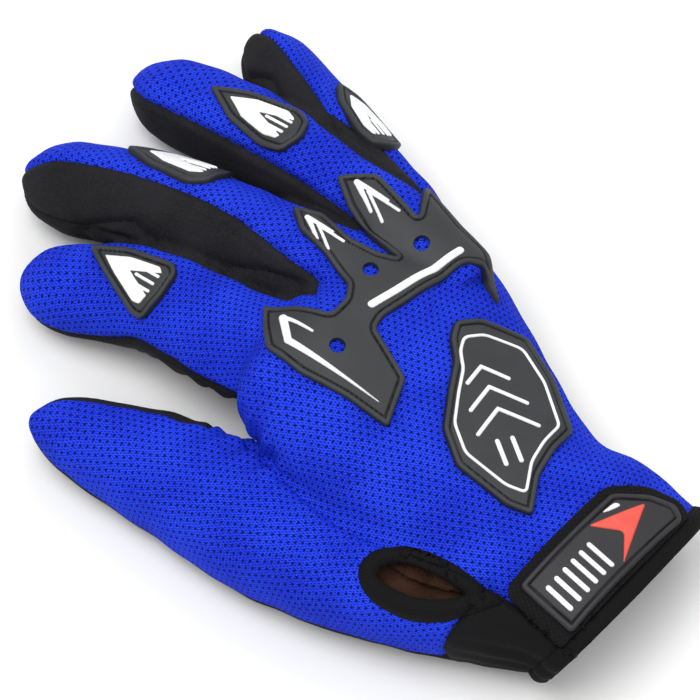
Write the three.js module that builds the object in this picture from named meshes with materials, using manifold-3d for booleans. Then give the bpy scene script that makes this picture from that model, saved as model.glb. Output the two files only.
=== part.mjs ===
// A right-hand motorcycle glove with full fingers, lying palm down with its fingers spread.
// Millimetres, +Z up, fingers towards +Y, thumb towards -X, floor at z = 0.
import * as THREE from "three";
import { mergeVertices } from "three/addons/utils/BufferGeometryUtils.js";
import Module from "manifold-3d";

const wasm = await Module();
wasm.setup();

// Driving sizes of the hand, the four fingers and the thumb
const HAND_LENGTH = 130;
const HAND_WIDTH = 86;
const HAND_THICK = 42;
const WRIST_HEIGHT = 17;
const INDEX_LENGTH = 119;
const INDEX_WIDTH = 30;
const INDEX_THICK = 26;
const MIDDLE_LENGTH = 134;
const MIDDLE_WIDTH = 29;
const MIDDLE_THICK = 28;
const RING_LENGTH = 131;
const RING_WIDTH = 27;
const RING_THICK = 26;
const LITTLE_LENGTH = 113;
const LITTLE_WIDTH = 23;
const LITTLE_THICK = 22;
const THUMB_LENGTH = 171;
const THUMB_WIDTH = 38;
const THUMB_THICK = 34;

// Cloth, binding and rubber
const CLOTH_WALL = 2;
const GAP = 0.3;
const CUFF_BAND = 4.2;
const CUFF_PROUD = 0.8;
const CUFF_TOP = 34;
const CUFF_SLANT = 0.3;
const SLIT_MOUTH_SHARE = 0.66;
const SLIT_PROUD = 0.9;
const LINING_WALL = 1;
const LINING_REACH = 64;
const STRAP_WALL = 1.5;
const PLATE_WALL = 1.4;
const RIM_RISE = 0.9;
const RIM_WIDTH = 1.7;
const MARK_RISE = 0.6;
const MARK_WIDTH = 1.6;
const BAR_WIDTH = 2.4;
const BOLT_HOLE = 4.6;

// Facets of the lofted forms: sides round a section, stations along a limb and round its tip.
// The hollow inside the cloth has fewer of them than the outside
const HAND_FACETS = { outside: { sides: 18, stations: 6 }, inside: { sides: 14, stations: 5 } };
const FINGER_FACETS = { outside: { sides: 12, stations: 5 }, inside: { sides: 8, stations: 4 } };
const THUMB_FACETS = { outside: { sides: 12, stations: 6 }, inside: { sides: 9, stations: 4 } };
const TIP_STATIONS = { outside: 3, inside: 2 };
const SECTION_POWER = 2.3;

// A limb's last ring stops this little short of its end, in radians, so that it stays a ring
const TIP_CLOSE = 0.02;

// The wedges that cut the panels reach over the cloth and turn by at most this many degrees a step
const WEDGE_CUT = { over: 5, step: 40, stations: 6 };

const UP = new THREE.Vector3(0, 0, 1);
const TOP_BLOCK = { from: 24, to: 90 };
const DEEP = { from: -1, to: TOP_BLOCK.to };
const MOUTH_SPARE = 8;

// Lines of a table become objects with named columns
function table(names, lines) {
  return lines.map((line) => Object.fromEntries(line.map((value, i) => [names[i], value])));
}

// at, side and lift are shares of the limb's length; wide, thick and deep (the underside) are shares of
// its width and thickness; roll turns the section and radial and ulnar place the panel seams, in degrees
const LIMB_COLUMNS = ["at", "side", "lift", "wide", "thick", "deep", "roll", "radial", "ulnar"];

// A root is given as shares of the hand's length, width and thickness
const LIMBS = {
  hand: {
    length: HAND_LENGTH, width: HAND_WIDTH, thick: HAND_THICK, facets: HAND_FACETS,
    heading: 10, straight: true, tip: 0.14, root: { along: 0, across: 0, up: 0 },
    rows: table(LIMB_COLUMNS, [
      [0.00, -0.010, 0.00, 0.78, 0.78, 0.90, 4, 75, 75],
      [0.18, -0.023, 0.01, 0.83, 0.82, 0.98, 4, 75, 75],
      [0.29, -0.050, 0.02, 0.82, 0.86, 1.06, 6, 75, 75],
      [0.40, -0.035, 0.03, 0.86, 0.92, 1.12, 8, 92, 75],
      [0.55, -0.015, 0.05, 0.98, 0.98, 1.24, 10, 100, 75],
      [0.75, 0.019, 0.09, 1.07, 0.98, 1.30, 12, 98, 75],
      [0.90, 0.030, 0.11, 1.05, 0.86, 1.05, 14, 94, 75],
      [1.00, 0.032, 0.11, 0.96, 0.72, 0.80, 14, 88, 75],
    ]),
  },
  index: {
    length: INDEX_LENGTH, width: INDEX_WIDTH, thick: INDEX_THICK, facets: FINGER_FACETS,
    heading: -5, tip: 0.11, root: { along: 0.676, across: -0.098, up: 0.333 },
    rows: table(LIMB_COLUMNS, [
      [0.00, 0.00, 0.00, 1.06, 1.00, 1.00, -16, 92, 75],
      [0.20, 0.00, 0.02, 1.06, 1.02, 1.02, -16, 88, 75],
      [0.40, -0.01, -0.01, 1.04, 1.00, 1.00, -16, 72, 75],
      [0.65, 0.03, -0.08, 1.04, 0.98, 1.05, -16, 74, 75],
      [0.85, -0.01, -0.135, 0.92, 0.90, 1.10, -16, 100, 75],
      [1.00, -0.05, -0.16, 0.70, 0.74, 0.90, -14, 103, 75],
    ]),
  },
  middle: {
    length: MIDDLE_LENGTH, width: MIDDLE_WIDTH, thick: MIDDLE_THICK, facets: FINGER_FACETS,
    heading: -3, tip: 0.11, root: { along: 0.75, across: 0.202, up: 0.381 },
    rows: table(LIMB_COLUMNS, [
      [0.00, 0.00, 0.00, 1.00, 1.00, 1.00, 10, 60, 75],
      [0.25, 0.00, 0.01, 1.00, 1.00, 1.00, 25, 60, 75],
      [0.45, 0.01, -0.03, 1.00, 1.00, 1.00, 45, 55, 75],
      [0.65, 0.01, -0.08, 1.00, 1.00, 1.05, 49, 50, 75],
      [0.85, -0.01, -0.125, 0.92, 0.95, 1.10, 49, 50, 75],
      [1.00, -0.05, -0.15, 0.70, 0.74, 0.90, 45, 45, 75],
    ]),
  },
  ring: {
    length: RING_LENGTH, width: RING_WIDTH, thick: RING_THICK, facets: FINGER_FACETS,
    heading: 10.5, tip: 0.11, root: { along: 0.725, across: 0.386, up: 0.381 },
    rows: table(LIMB_COLUMNS, [
      [0.00, 0.00, 0.00, 0.78, 0.84, 0.84, 15, 60, 75],
      [0.25, 0.01, 0.00, 1.00, 1.00, 1.00, 15, 60, 75],
      [0.45, 0.015, -0.03, 1.00, 1.00, 1.00, 12, 60, 75],
      [0.65, 0.008, -0.08, 0.98, 1.00, 1.05, 10, 60, 75],
      [0.85, -0.015, -0.125, 0.94, 0.95, 1.15, 10, 60, 75],
      [1.00, -0.055, -0.15, 0.74, 0.76, 1.00, 10, 60, 75],
    ]),
  },
  little: {
    length: LITTLE_LENGTH, width: LITTLE_WIDTH, thick: LITTLE_THICK, facets: FINGER_FACETS,
    heading: 26.5, tip: 0.11, root: { along: 0.783, across: 0.417, up: 0.262 },
    rows: table(LIMB_COLUMNS, [
      [0.00, 0.00, 0.00, 0.85, 0.90, 0.90, 25, 60, 75],
      [0.25, -0.01, 0.00, 1.00, 1.00, 1.00, 35, 60, 75],
      [0.45, -0.02, -0.03, 1.00, 1.00, 1.00, 45, 60, 75],
      [0.65, -0.015, -0.08, 0.98, 1.00, 1.05, 50, 55, 75],
      [0.85, -0.015, -0.125, 0.90, 0.92, 1.10, 52, 50, 75],
      [1.00, -0.02, -0.15, 0.70, 0.70, 0.90, 52, 45, 75],
    ]),
  },
  thumb: {
    length: THUMB_LENGTH, width: THUMB_WIDTH, thick: THUMB_THICK, facets: THUMB_FACETS,
    heading: -10, tip: 0.08, root: { along: 0.035, across: -0.234, up: 0 },
    rows: table(LIMB_COLUMNS, [
      [0.00, 0.020, 0.00, 0.70, 0.84, 0.90, -6, 100, 55],
      [0.14, -0.015, 0.00, 0.76, 0.92, 1.00, -8, 100, 55],
      [0.278, -0.038, 0.01, 0.82, 0.98, 1.10, -10, 100, 62],
      [0.42, -0.036, 0.00, 0.92, 1.00, 1.10, -10, 98, 76],
      [0.551, -0.014, -0.01, 1.04, 1.00, 1.05, -10, 98, 76],
      [0.712, 0.014, -0.02, 0.94, 0.95, 1.00, -10, 100, 56],
      [0.843, 0.020, -0.02, 0.74, 0.80, 0.95, -10, 95, 55],
      [1.00, 0.022, -0.02, 0.38, 0.50, 0.60, -10, 90, 55],
    ]),
  },
};

const BACK_LIMBS = ["hand", "index", "middle", "ring", "little"];

// Outlines on the hand: shares of its length (from the wrist) and of its width (towards the little finger)
const HAND_COLUMNS = ["along", "across"];

const THUMB_SEAM = table(HAND_COLUMNS, [
  [-0.2, -0.34], [0.17, -0.34], [0.3, -0.42], [0.446, -0.502], [0.535, -0.54], [0.66, -0.542],
  [0.785, -0.512], [0.885, -0.482], [1, -0.5], [1.27, -0.65], [1.7, -0.85], [1.7, -2], [-0.2, -2],
]);

const WRIST_BLACK = table(HAND_COLUMNS, [[-0.2, -0.34], [0.215, -0.34], [0.215, -2], [-0.2, -2]]);

const SLIT = table(HAND_COLUMNS, [
  [0.452, -0.6], [0.447, -0.522], [0.4, -0.435], [0.313, -0.388], [0.208, -0.367], [0.163, -0.36],
  [0.182, -0.412], [0.223, -0.525], [0.286, -0.61], [0.361, -0.65], [0.416, -0.648],
]);

const STRAP = table(HAND_COLUMNS, [
  [0.006, -0.335], [0.006, 0.27], [0.06, 0.3], [0.13, 0.25], [0.185, 0.15], [0.185, -0.335],
]);

const TAB = table(HAND_COLUMNS, [
  [0.165, -0.3], [0.014, -0.296], [0.016, 0.235], [0.052, 0.262], [0.105, 0.225], [0.163, 0.135],
]);

const STRIPE = table(HAND_COLUMNS, [[0.146, -0.01], [0.097, 0.19], [0.032, -0.03], [0.083, 0.06]]);

const ACCENT = table(HAND_COLUMNS, [[0.146, 0.055], [0.138, 0.075], [0.127, 0.125], [0.143, 0.118]]);

const TAB_BARS = { count: 6, along: 0.055, first: -0.245, pitch: 0.038, length: 0.055 };

const KNUCKLE_GUARD = table(HAND_COLUMNS, [
  [1.0, -0.172], [0.899, -0.304], [0.807, -0.299], [0.7, -0.255], [0.592, -0.228], [0.642, -0.063],
  [0.765, -0.007], [0.775, 0.044], [0.753, 0.405], [0.728, 0.453], [0.65, 0.414], [0.749, 0.517],
  [0.831, 0.52], [0.967, 0.565], [0.9, 0.425], [1.041, 0.459], [1.11, 0.367], [1.034, 0.308],
  [0.951, 0.27], [0.862, 0.262], [0.9, 0.225], [0.97, 0.2], [1.066, 0.222], [1.128, 0.173],
  [1.062, 0.109], [0.979, 0.096], [0.887, 0.06], [0.862, 0.006], [0.858, -0.073], [0.921, -0.116],
]);

const KNUCKLE_HOLES = table(HAND_COLUMNS, [[0.792, -0.146], [0.878, 0.154], [0.85, 0.363]]);

const KNUCKLE_BAR = table(HAND_COLUMNS, [[0.812, 0.05], [0.78, 0.43]]);

const INDEX_BOLT = table(HAND_COLUMNS, [[0.86, -0.175], [0.935, -0.175], [0.885, -0.25], [0.645, -0.19]]);

const MIDDLE_CHEVRON = table(HAND_COLUMNS, [[0.99, 0.165], [1.07, 0.165], [0.99, 0.135]]);

const RING_CHEVRON = table(HAND_COLUMNS, [[0.95, 0.39], [1.055, 0.392], [0.955, 0.33]]);

const HAND_PATCH = table(HAND_COLUMNS, [
  [0.672, 0.225], [0.645, 0.305], [0.556, 0.395], [0.45, 0.35], [0.328, 0.238], [0.32, 0.13],
  [0.3, 0.02], [0.248, -0.1], [0.3, -0.137], [0.435, -0.158], [0.512, -0.098], [0.565, 0.014],
  [0.607, 0.113], [0.65, 0.165],
]);

const PATCH_LINE_SHARE = 0.78;

// Outlines on a finger: shares of its length (from its root) and of its width, seen along its own back
const FINGER_GUARDS = [
  {
    limb: "index", outline: table(HAND_COLUMNS, [
      [0.834, 0.25], [0.755, 0.02], [0.64, -0.29], [0.604, -0.31], [0.572, -0.05], [0.562, 0.2], [0.585, 0.3],
      [0.72, 0.33],
    ]),
  },
  {
    limb: "middle", outline: table(HAND_COLUMNS, [
      [0.775, -0.12], [0.69, -0.3], [0.57, -0.36], [0.53, -0.28], [0.522, 0.02], [0.54, 0.24], [0.6, 0.28],
      [0.7, 0.16],
    ]),
  },
  {
    limb: "ring", outline: table(HAND_COLUMNS, [
      [0.779, -0.1], [0.68, -0.3], [0.563, -0.37], [0.505, -0.33], [0.487, -0.1], [0.51, 0.14], [0.555, 0.22],
      [0.684, 0.11],
    ]),
  },
  {
    limb: "little", outline: table(HAND_COLUMNS, [
      [0.66, -0.1], [0.58, -0.28], [0.45, -0.34], [0.39, -0.28], [0.375, 0], [0.4, 0.24], [0.47, 0.28],
      [0.6, 0.14],
    ]),
  },
];

// The wedge mark keeps the guard's outline, drawn in towards its middle and open towards the palm
const WEDGE = { scale: 0.6, notchAlong: 0.35 };

// A smooth curve through the rows of a table, read at one place
function readRow(rows, at) {
  const place = THREE.MathUtils.clamp(at, rows[0].at, rows.at(-1).at);
  const next = rows.findIndex((row) => row.at > place);
  const low = next < 1 ? rows.length - 2 : next - 1;
  const p = rows[low];
  const q = rows[low + 1];
  const before = rows[Math.max(low - 1, 0)];
  const after = rows[Math.min(low + 2, rows.length - 1)];
  const step = q.at - p.at;
  const u = (place - p.at) / step;
  const value = {};
  for (const key of Object.keys(p)) {
    const leave = ((q[key] - before[key]) / (q.at - before.at)) * step;
    const arrive = ((after[key] - p[key]) / (after.at - p.at)) * step;
    value[key] = (2 * u ** 3 - 3 * u ** 2 + 1) * p[key] + (u ** 3 - 2 * u ** 2 + u) * leave
      + (3 * u ** 2 - 2 * u ** 3) * q[key] + (u ** 3 - u ** 2) * arrive;
  }
  return value;
}

function headingVectors(degrees) {
  const angle = THREE.MathUtils.degToRad(degrees);
  return {
    ahead: new THREE.Vector3(Math.sin(angle), Math.cos(angle), 0),
    across: new THREE.Vector3(Math.cos(angle), -Math.sin(angle), 0),
  };
}

const HAND_AXES = headingVectors(LIMBS.hand.heading);

// A place on the hand's plan, at a height above the floor
function handPoint({ along, across, up = 0 }) {
  return new THREE.Vector3(0, 0, WRIST_HEIGHT + up * HAND_THICK)
    .addScaledVector(HAND_AXES.ahead, along * HAND_LENGTH)
    .addScaledVector(HAND_AXES.across, across * HAND_WIDTH);
}

function limbCentre(limb, at) {
  const { ahead, across } = headingVectors(limb.heading);
  const row = readRow(limb.rows, at);
  return handPoint(limb.root)
    .addScaledVector(ahead, at * limb.length)
    .addScaledVector(across, row.side * limb.length)
    .addScaledVector(UP, row.lift * limb.length);
}

// The section frame at one place: its centre, its axes and its row of the table
function station(limb, at) {
  const step = 0.01;
  const near = Math.min(at, 1 - step);
  const tangent = limb.straight
    ? headingVectors(limb.heading).ahead
    : limbCentre(limb, near + step).sub(limbCentre(limb, near - step)).normalize();
  const level = new THREE.Vector3().crossVectors(tangent, UP).normalize();
  const upright = new THREE.Vector3().crossVectors(level, tangent);
  const row = readRow(limb.rows, at);
  const roll = THREE.MathUtils.degToRad(row.roll);
  return {
    row,
    centre: limbCentre(limb, at),
    ahead: tangent,
    across: level.clone().multiplyScalar(Math.cos(roll)).addScaledVector(upright, -Math.sin(roll)),
    back: upright.clone().multiplyScalar(Math.cos(roll)).addScaledVector(level, Math.sin(roll)),
  };
}

// The section is a superellipse: a power of sine across and of cosine towards the back
function bent(value) {
  return Math.sign(value) * Math.abs(value) ** (2 / SECTION_POWER);
}

// Where the stations lie: evenly up to the rounded tip, then by the sine of the tip's quarter circle.
// turn is 0 along the limb and rises to a right angle at its end
function stationList(limb, start, face) {
  const { stations } = limb.facets[face];
  const body = Array.from({ length: stations + 1 }, (_, i) => {
    const share = i / stations;
    return { at: start + (1 - limb.tip - start) * share, turn: 0 };
  });
  const tip = Array.from({ length: TIP_STATIONS[face] }, (_, i) => {
    const turn = ((i + 1) / TIP_STATIONS[face]) * (Math.PI / 2);
    return { at: 1 - limb.tip, turn: Math.min(turn, Math.PI / 2 - TIP_CLOSE) };
  });
  return [...body, ...tip];
}

// A point of the section at an angle from its back, grown outwards: across, and towards the back
function sectionPoint(limb, row, angle, grow) {
  const high = Math.cos(angle) > 0 ? row.thick : row.deep;
  return new THREE.Vector2(
    bent(Math.sin(angle)) * ((row.wide * limb.width) / 2 + grow),
    bent(Math.cos(angle)) * ((high * limb.thick) / 2 + grow),
  );
}

function placed(frame, point) {
  return frame.centre.clone()
    .addScaledVector(frame.across, point.x)
    .addScaledVector(frame.back, point.y);
}

// One point of a limb's surface, grown outwards by some millimetres and kept off the floor
function skinPoint(limb, place, angle, grow) {
  const tipLength = limb.tip * limb.length + grow;
  const at = place.at + (tipLength * Math.sin(place.turn)) / limb.length;
  const frame = station(limb, at);
  const flat = sectionPoint(limb, frame.row, angle, grow).multiplyScalar(Math.cos(place.turn));
  const point = placed(frame, flat);
  point.z = Math.max(point.z, Math.max(-grow, 0));
  return point;
}

function toSolid(points, triangles) {
  return new wasm.Manifold(new wasm.Mesh({
    numProp: 3,
    vertProperties: new Float32Array(points.flatMap((p) => [p.x, p.y, p.z])),
    triVerts: new Uint32Array(triangles.flat()),
  }));
}

// Rings of equal count joined to a closed body; the caps are triangles of one ring's own indices
function joinRings(rings, capTriangles) {
  const count = rings[0].length;
  const points = rings.flat();
  const triangles = [];
  for (let r = 0; r + 1 < rings.length; r += 1) {
    for (let j = 0; j < count; j += 1) {
      const a = r * count + j;
      const b = r * count + ((j + 1) % count);
      triangles.push([a, b, b + count], [a, b + count, a + count]);
    }
  }
  const last = (rings.length - 1) * count;
  for (const [a, b, c] of capTriangles) {
    triangles.push([c, b, a], [last + a, last + b, last + c]);
  }
  return toSolid(points, triangles);
}

function fanTriangles(count) {
  return Array.from({ length: count - 2 }, (_, i) => [0, i + 1, i + 2]);
}

function solidOf(list) {
  return list.reduce((sum, solid) => sum.add(solid));
}

function limbStart(limb) {
  return limb === LIMBS.hand ? -MOUTH_SPARE / limb.length : 0;
}

// The whole limb as a closed form
function limbSolid(limb, grow) {
  const face = grow < 0 ? "inside" : "outside";
  const { sides } = limb.facets[face];
  const rings = stationList(limb, limbStart(limb), face).map((place) => {
    return Array.from({ length: sides }, (_, j) => {
      return skinPoint(limb, place, -Math.PI + (2 * Math.PI * j) / sides, grow);
    });
  });
  return joinRings(rings, fanTriangles(sides));
}

// The glove's whole form, grown by some millimetres, and the layer between two such forms
const grownForms = new Map();
function form(grow) {
  if (!grownForms.has(grow)) {
    grownForms.set(grow, solidOf(Object.values(LIMBS).map((limb) => limbSolid(limb, grow))));
  }
  return grownForms.get(grow);
}

function layer(from, to) {
  return form(to).subtract(form(from));
}

// An outline drawn in by some millimetres, or drawn out by a negative number of them
const LONGEST_MITRE = 3;
function drawnIn(points, distance) {
  const sign = THREE.ShapeUtils.isClockWise(points) ? -1 : 1;
  const inward = points.map((p, i) => {
    const q = points[(i + 1) % points.length];
    const run = q.clone().sub(p).normalize();
    return new THREE.Vector2(-run.y, run.x).multiplyScalar(sign);
  });
  return points.map((p, i) => {
    const before = inward[(i + points.length - 1) % points.length];
    const sum = before.clone().add(inward[i]);
    const mitre = Math.min(1 / (1 + before.dot(inward[i])), LONGEST_MITRE);
    return p.clone().addScaledVector(sum, distance * mitre);
  });
}

// A wedge from a limb's axis out past its wall between two seams, widened by spare millimetres
function wedge(limb, seams, spare, start, end) {
  const most = Math.max(...limb.rows.map((row) => seams(row)[1] - seams(row)[0]));
  const steps = Math.ceil(most / WEDGE_CUT.step);
  const rings = Array.from({ length: WEDGE_CUT.stations + 1 }, (_, i) => {
    const lengthen = { 0: -spare, [WEDGE_CUT.stations]: spare }[i] ?? 0;
    const at = start + ((end - start) * i) / WEDGE_CUT.stations + lengthen / limb.length;
    const frame = station(limb, at);
    const [from, to] = seams(frame.row).map(THREE.MathUtils.degToRad);
    const edge = Array.from({ length: steps + 1 }, (_unused, j) => {
      return sectionPoint(limb, frame.row, from + ((to - from) * j) / steps, WEDGE_CUT.over);
    });
    const outline = drawnIn([new THREE.Vector2(), ...edge], -spare);
    return outline.map((point) => placed(frame, point));
  });
  return joinRings(rings, fanTriangles(steps + 2));
}

// A plan outline pulled up into a prism: in hand shares along Z, or on a finger along its own back
function prism(points, matrix, from, to) {
  const shape = new THREE.Shape(points);
  const geometry = new THREE.ExtrudeGeometry(shape, { depth: to - from, bevelEnabled: false });
  geometry.translate(0, 0, from);
  geometry.applyMatrix4(matrix);
  geometry.deleteAttribute("normal");
  geometry.deleteAttribute("uv");
  const merged = mergeVertices(geometry);
  return new wasm.Manifold(new wasm.Mesh({
    numProp: 3,
    vertProperties: new Float32Array(merged.attributes.position.array),
    triVerts: new Uint32Array(merged.index.array),
  }));
}

const HAND_PLACE = {
  matrix: new THREE.Matrix4().makeBasis(HAND_AXES.across, HAND_AXES.ahead, UP),
  point: ({ along, across }) => new THREE.Vector2(across * HAND_WIDTH, along * HAND_LENGTH),
  from: TOP_BLOCK.from,
  to: TOP_BLOCK.to,
};

function fingerPlace(limb, at) {
  const frame = station(limb, at);
  const matrix = new THREE.Matrix4().makeBasis(frame.across, frame.ahead, frame.back);
  matrix.setPosition(frame.centre);
  return {
    matrix,
    point: ({ along, across }) => new THREE.Vector2(across * limb.width, (along - at) * limb.length),
    from: 0,
    to: limb.thick,
  };
}

function block(rows, place, limits = place) {
  return prism(rows.map(place.point), place.matrix, limits.from, limits.to);
}

// A line of even width along some points, made of one box for each stretch
function line(rows, place, width) {
  const points = rows.map(place.point);
  const boxes = Array.from({ length: points.length - 1 }, (_, i) => {
    const p = points[i];
    const q = points[i + 1];
    const run = q.clone().sub(p).normalize().multiplyScalar(width / 2);
    const side = new THREE.Vector2(-run.y, run.x);
    const start = p.clone().sub(run);
    const end = q.clone().add(run);
    const corners = [
      start.clone().sub(side), end.clone().sub(side), end.clone().add(side), start.clone().add(side),
    ];
    return prism(corners, place.matrix, place.from, place.to);
  });
  return solidOf(boxes);
}

function insetBlock(rows, place, distance, limits = place) {
  return prism(drawnIn(rows.map(place.point), distance), place.matrix, limits.from, limits.to);
}

// The largest body of a cut
function main(solid) {
  return solid.decompose().reduce((best, part) => (part.volume() > best.volume() ? part : best));
}

// A slice of the hand between two distances from the wrist seam, which lies further from the cuff towards
// the floor, because the cuff's underside is shorter than its top
function slice(from, to) {
  const reach = 4 * HAND_WIDTH;
  const corners = [[-reach, from], [reach, from], [reach, to], [-reach, to]];
  const slant = new THREE.Matrix4().set(
    1, 0, 0, 0,
    0, 1, -CUFF_SLANT, CUFF_SLANT * CUFF_TOP,
    0, 0, 1, 0,
    0, 0, 0, 1,
  );
  const points = corners.map(([x, y]) => new THREE.Vector2(x, y));
  return prism(points, HAND_PLACE.matrix.clone().multiply(slant), DEEP.from, DEEP.to);
}

// The regions of the cloth panels, each widened by spare millimetres. The hand's back ends between the
// finger roots, and a finger's runs past its tip, as shares of the limb's length
const HAND_BACK_END = 0.88;
const FINGER_END = 1.1;
function backRegion(spare) {
  const wedges = BACK_LIMBS.map((name) => {
    const limb = LIMBS[name];
    const end = name === "hand" ? HAND_BACK_END : FINGER_END;
    return wedge(limb, (row) => [-row.radial, row.ulnar], spare, limbStart(limb), end);
  });
  return solidOf(wedges).subtract(insetBlock(THUMB_SEAM, HAND_PLACE, spare, DEEP));
}

function thumbRegion(spare) {
  const whole = wedge(LIMBS.thumb, (row) => [-row.radial, row.ulnar], spare, 0, FINGER_END);
  const thumbSide = insetBlock(THUMB_SEAM, HAND_PLACE, -spare, DEEP);
  return whole.intersect(thumbSide).subtract(insetBlock(WRIST_BLACK, HAND_PLACE, spare, DEEP));
}

// The black strips on the facing sides of the fingers, each from the back seam down to the palm seam and
// from the crotch, a share of the finger's length, out past the tip
const PALM_SEAM = 128;
const SIDE_STRIPS = [
  { limb: "index", side: "ulnar", start: 0.24 },
  { limb: "middle", side: "radial", start: 0.15 },
  { limb: "middle", side: "ulnar", start: 0.12 },
  { limb: "ring", side: "radial", start: 0.14 },
  { limb: "ring", side: "ulnar", start: 0.2 },
  { limb: "little", side: "radial", start: 0.12 },
];

function stripRegion({ limb, side, start }, spare) {
  const seams = side === "ulnar" ? (row) => [row.ulnar, PALM_SEAM] : (row) => [-PALM_SEAM, -row.radial];
  return wedge(LIMBS[limb], seams, spare, start, FINGER_END);
}

const skin = layer(-CLOTH_WALL, 0).intersect(slice(0, 2 * HAND_LENGTH));
const slitCut = insetBlock(SLIT, HAND_PLACE, -GAP);

function makeBackPanel() {
  return main(skin.intersect(backRegion(0)).subtract(slitCut));
}

function makeThumbPanel() {
  return main(skin.intersect(thumbRegion(0)).subtract(backRegion(GAP)).subtract(slitCut));
}

// A strip gives way to the back and to the strips before it
function makeSideStrip(strip, before) {
  const cuts = [backRegion(GAP), ...before.map((other) => stripRegion(other, GAP))];
  return main(cuts.reduce((rest, cut) => rest.subtract(cut), skin.intersect(stripRegion(strip, 0))));
}

function makePalmPanel() {
  const strips = SIDE_STRIPS.map((strip) => stripRegion(strip, GAP));
  const cuts = [backRegion(GAP), thumbRegion(GAP), slitCut, ...strips];
  return main(cuts.reduce((rest, cut) => rest.subtract(cut), skin));
}

function makeCuffBinding() {
  return main(layer(-CLOTH_WALL - CUFF_PROUD, CUFF_PROUD).intersect(slice(-CUFF_BAND, -GAP)));
}

function makeSlitBinding() {
  const ring = block(SLIT, HAND_PLACE).subtract(block(scaledRows(SLIT, SLIT_MOUTH_SHARE), HAND_PLACE));
  return main(layer(-CLOTH_WALL, SLIT_PROUD).intersect(ring));
}

function makeLining() {
  const outside = -CLOTH_WALL - GAP;
  return main(layer(outside - LINING_WALL, outside).intersect(slice(GAP, LINING_REACH)));
}

function makeStrap() {
  const band = layer(GAP, GAP + STRAP_WALL).intersect(block(STRAP, HAND_PLACE));
  return main(band.intersect(slice(GAP, LINING_REACH)));
}

// A moulded plate with a raised rim, seated at some height over the cloth
function rimmedPlate(outline, place, seat, shell) {
  const whole = block(outline, place);
  const rim = whole.subtract(insetBlock(outline, place, RIM_WIDTH));
  const plate = whole.intersect(shell(seat, seat + PLATE_WALL));
  return plate.add(rim.intersect(shell(seat, seat + PLATE_WALL + RIM_RISE)));
}

function raisedMark(mark, seat, shell) {
  const foot = seat + PLATE_WALL + GAP;
  return main(mark.intersect(shell(foot, foot + MARK_RISE)));
}

function disc(row, place, radius) {
  const centre = place.point(row);
  const sides = 12;
  const points = Array.from({ length: sides }, (_, i) => {
    const angle = (2 * Math.PI * i) / sides;
    return new THREE.Vector2(centre.x + radius * Math.cos(angle), centre.y + radius * Math.sin(angle));
  });
  return prism(points, place.matrix, place.from, place.to);
}

function makeKnuckleGuard() {
  const holes = solidOf(KNUCKLE_HOLES.map((row) => disc(row, HAND_PLACE, BOLT_HOLE / 2)));
  return main(rimmedPlate(KNUCKLE_GUARD, HAND_PLACE, GAP, layer).subtract(holes));
}

function scaledRows(rows, share) {
  const middle = { along: 0, across: 0 };
  for (const row of rows) {
    middle.along += row.along / rows.length;
    middle.across += row.across / rows.length;
  }
  return rows.map((row) => ({
    along: middle.along + (row.along - middle.along) * share,
    across: middle.across + (row.across - middle.across) * share,
  }));
}

const TAB_SEAT = GAP + STRAP_WALL + GAP;

function makeTabBars() {
  return Array.from({ length: TAB_BARS.count }, (_, i) => {
    const across = TAB_BARS.first + i * TAB_BARS.pitch;
    const ends = [
      { along: TAB_BARS.along, across },
      { along: TAB_BARS.along + TAB_BARS.length, across },
    ];
    return raisedMark(line(ends, HAND_PLACE, MARK_WIDTH), TAB_SEAT, layer);
  });
}

// A finger's guard and the wedge mark on it, cut from that finger's own layers
function makeFingerGuard({ limb: name, outline }) {
  const limb = LIMBS[name];
  const middle = outline.reduce((sum, row) => sum + row.along, 0) / outline.length;
  const place = fingerPlace(limb, middle);
  const shell = (from, to) => limbSolid(limb, to).subtract(limbSolid(limb, from));
  const inner = scaledRows(outline, WEDGE.scale);
  const tipRow = inner[0];
  const low = inner.slice(1).reduce((least, row) => (row.along < least.along ? row : least));
  const notch = {
    along: THREE.MathUtils.lerp(low.along, tipRow.along, WEDGE.notchAlong),
    across: (inner[3].across + inner[5].across) / 2,
  };
  const mark = [tipRow, inner[1], inner[3], notch, inner[5], inner[7]];
  return {
    guard: main(rimmedPlate(outline, place, GAP, shell)),
    wedge: raisedMark(block(mark, place), GAP, shell),
  };
}

const FINISHES = {
  blueMesh: { color: 0x2f4ae0, roughness: 0.85, metalness: 0 },
  blackCloth: { color: 0x26272b, roughness: 0.9, metalness: 0 },
  binding: { color: 0x17181a, roughness: 0.85, metalness: 0 },
  lining: { color: 0x39281e, roughness: 0.95, metalness: 0 },
  strapCloth: { color: 0x1b1c1e, roughness: 0.85, metalness: 0 },
  rubber: { color: 0x454649, roughness: 0.55, metalness: 0 },
  white: { color: 0xf6f7f8, roughness: 0.5, metalness: 0 },
  red: { color: 0xe8574d, roughness: 0.5, metalness: 0 },
};

const glove = new THREE.Group();

function addPiece(name, solid, finish) {
  const mesh = solid.getMesh();
  const geometry = new THREE.BufferGeometry();
  geometry.setAttribute("position", new THREE.BufferAttribute(mesh.vertProperties, mesh.numProp));
  geometry.setIndex(new THREE.BufferAttribute(mesh.triVerts, 1));
  geometry.computeVertexNormals();
  const piece = new THREE.Mesh(geometry, new THREE.MeshStandardMaterial(FINISHES[finish]));
  piece.name = name;
  glove.add(piece);
}

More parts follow.
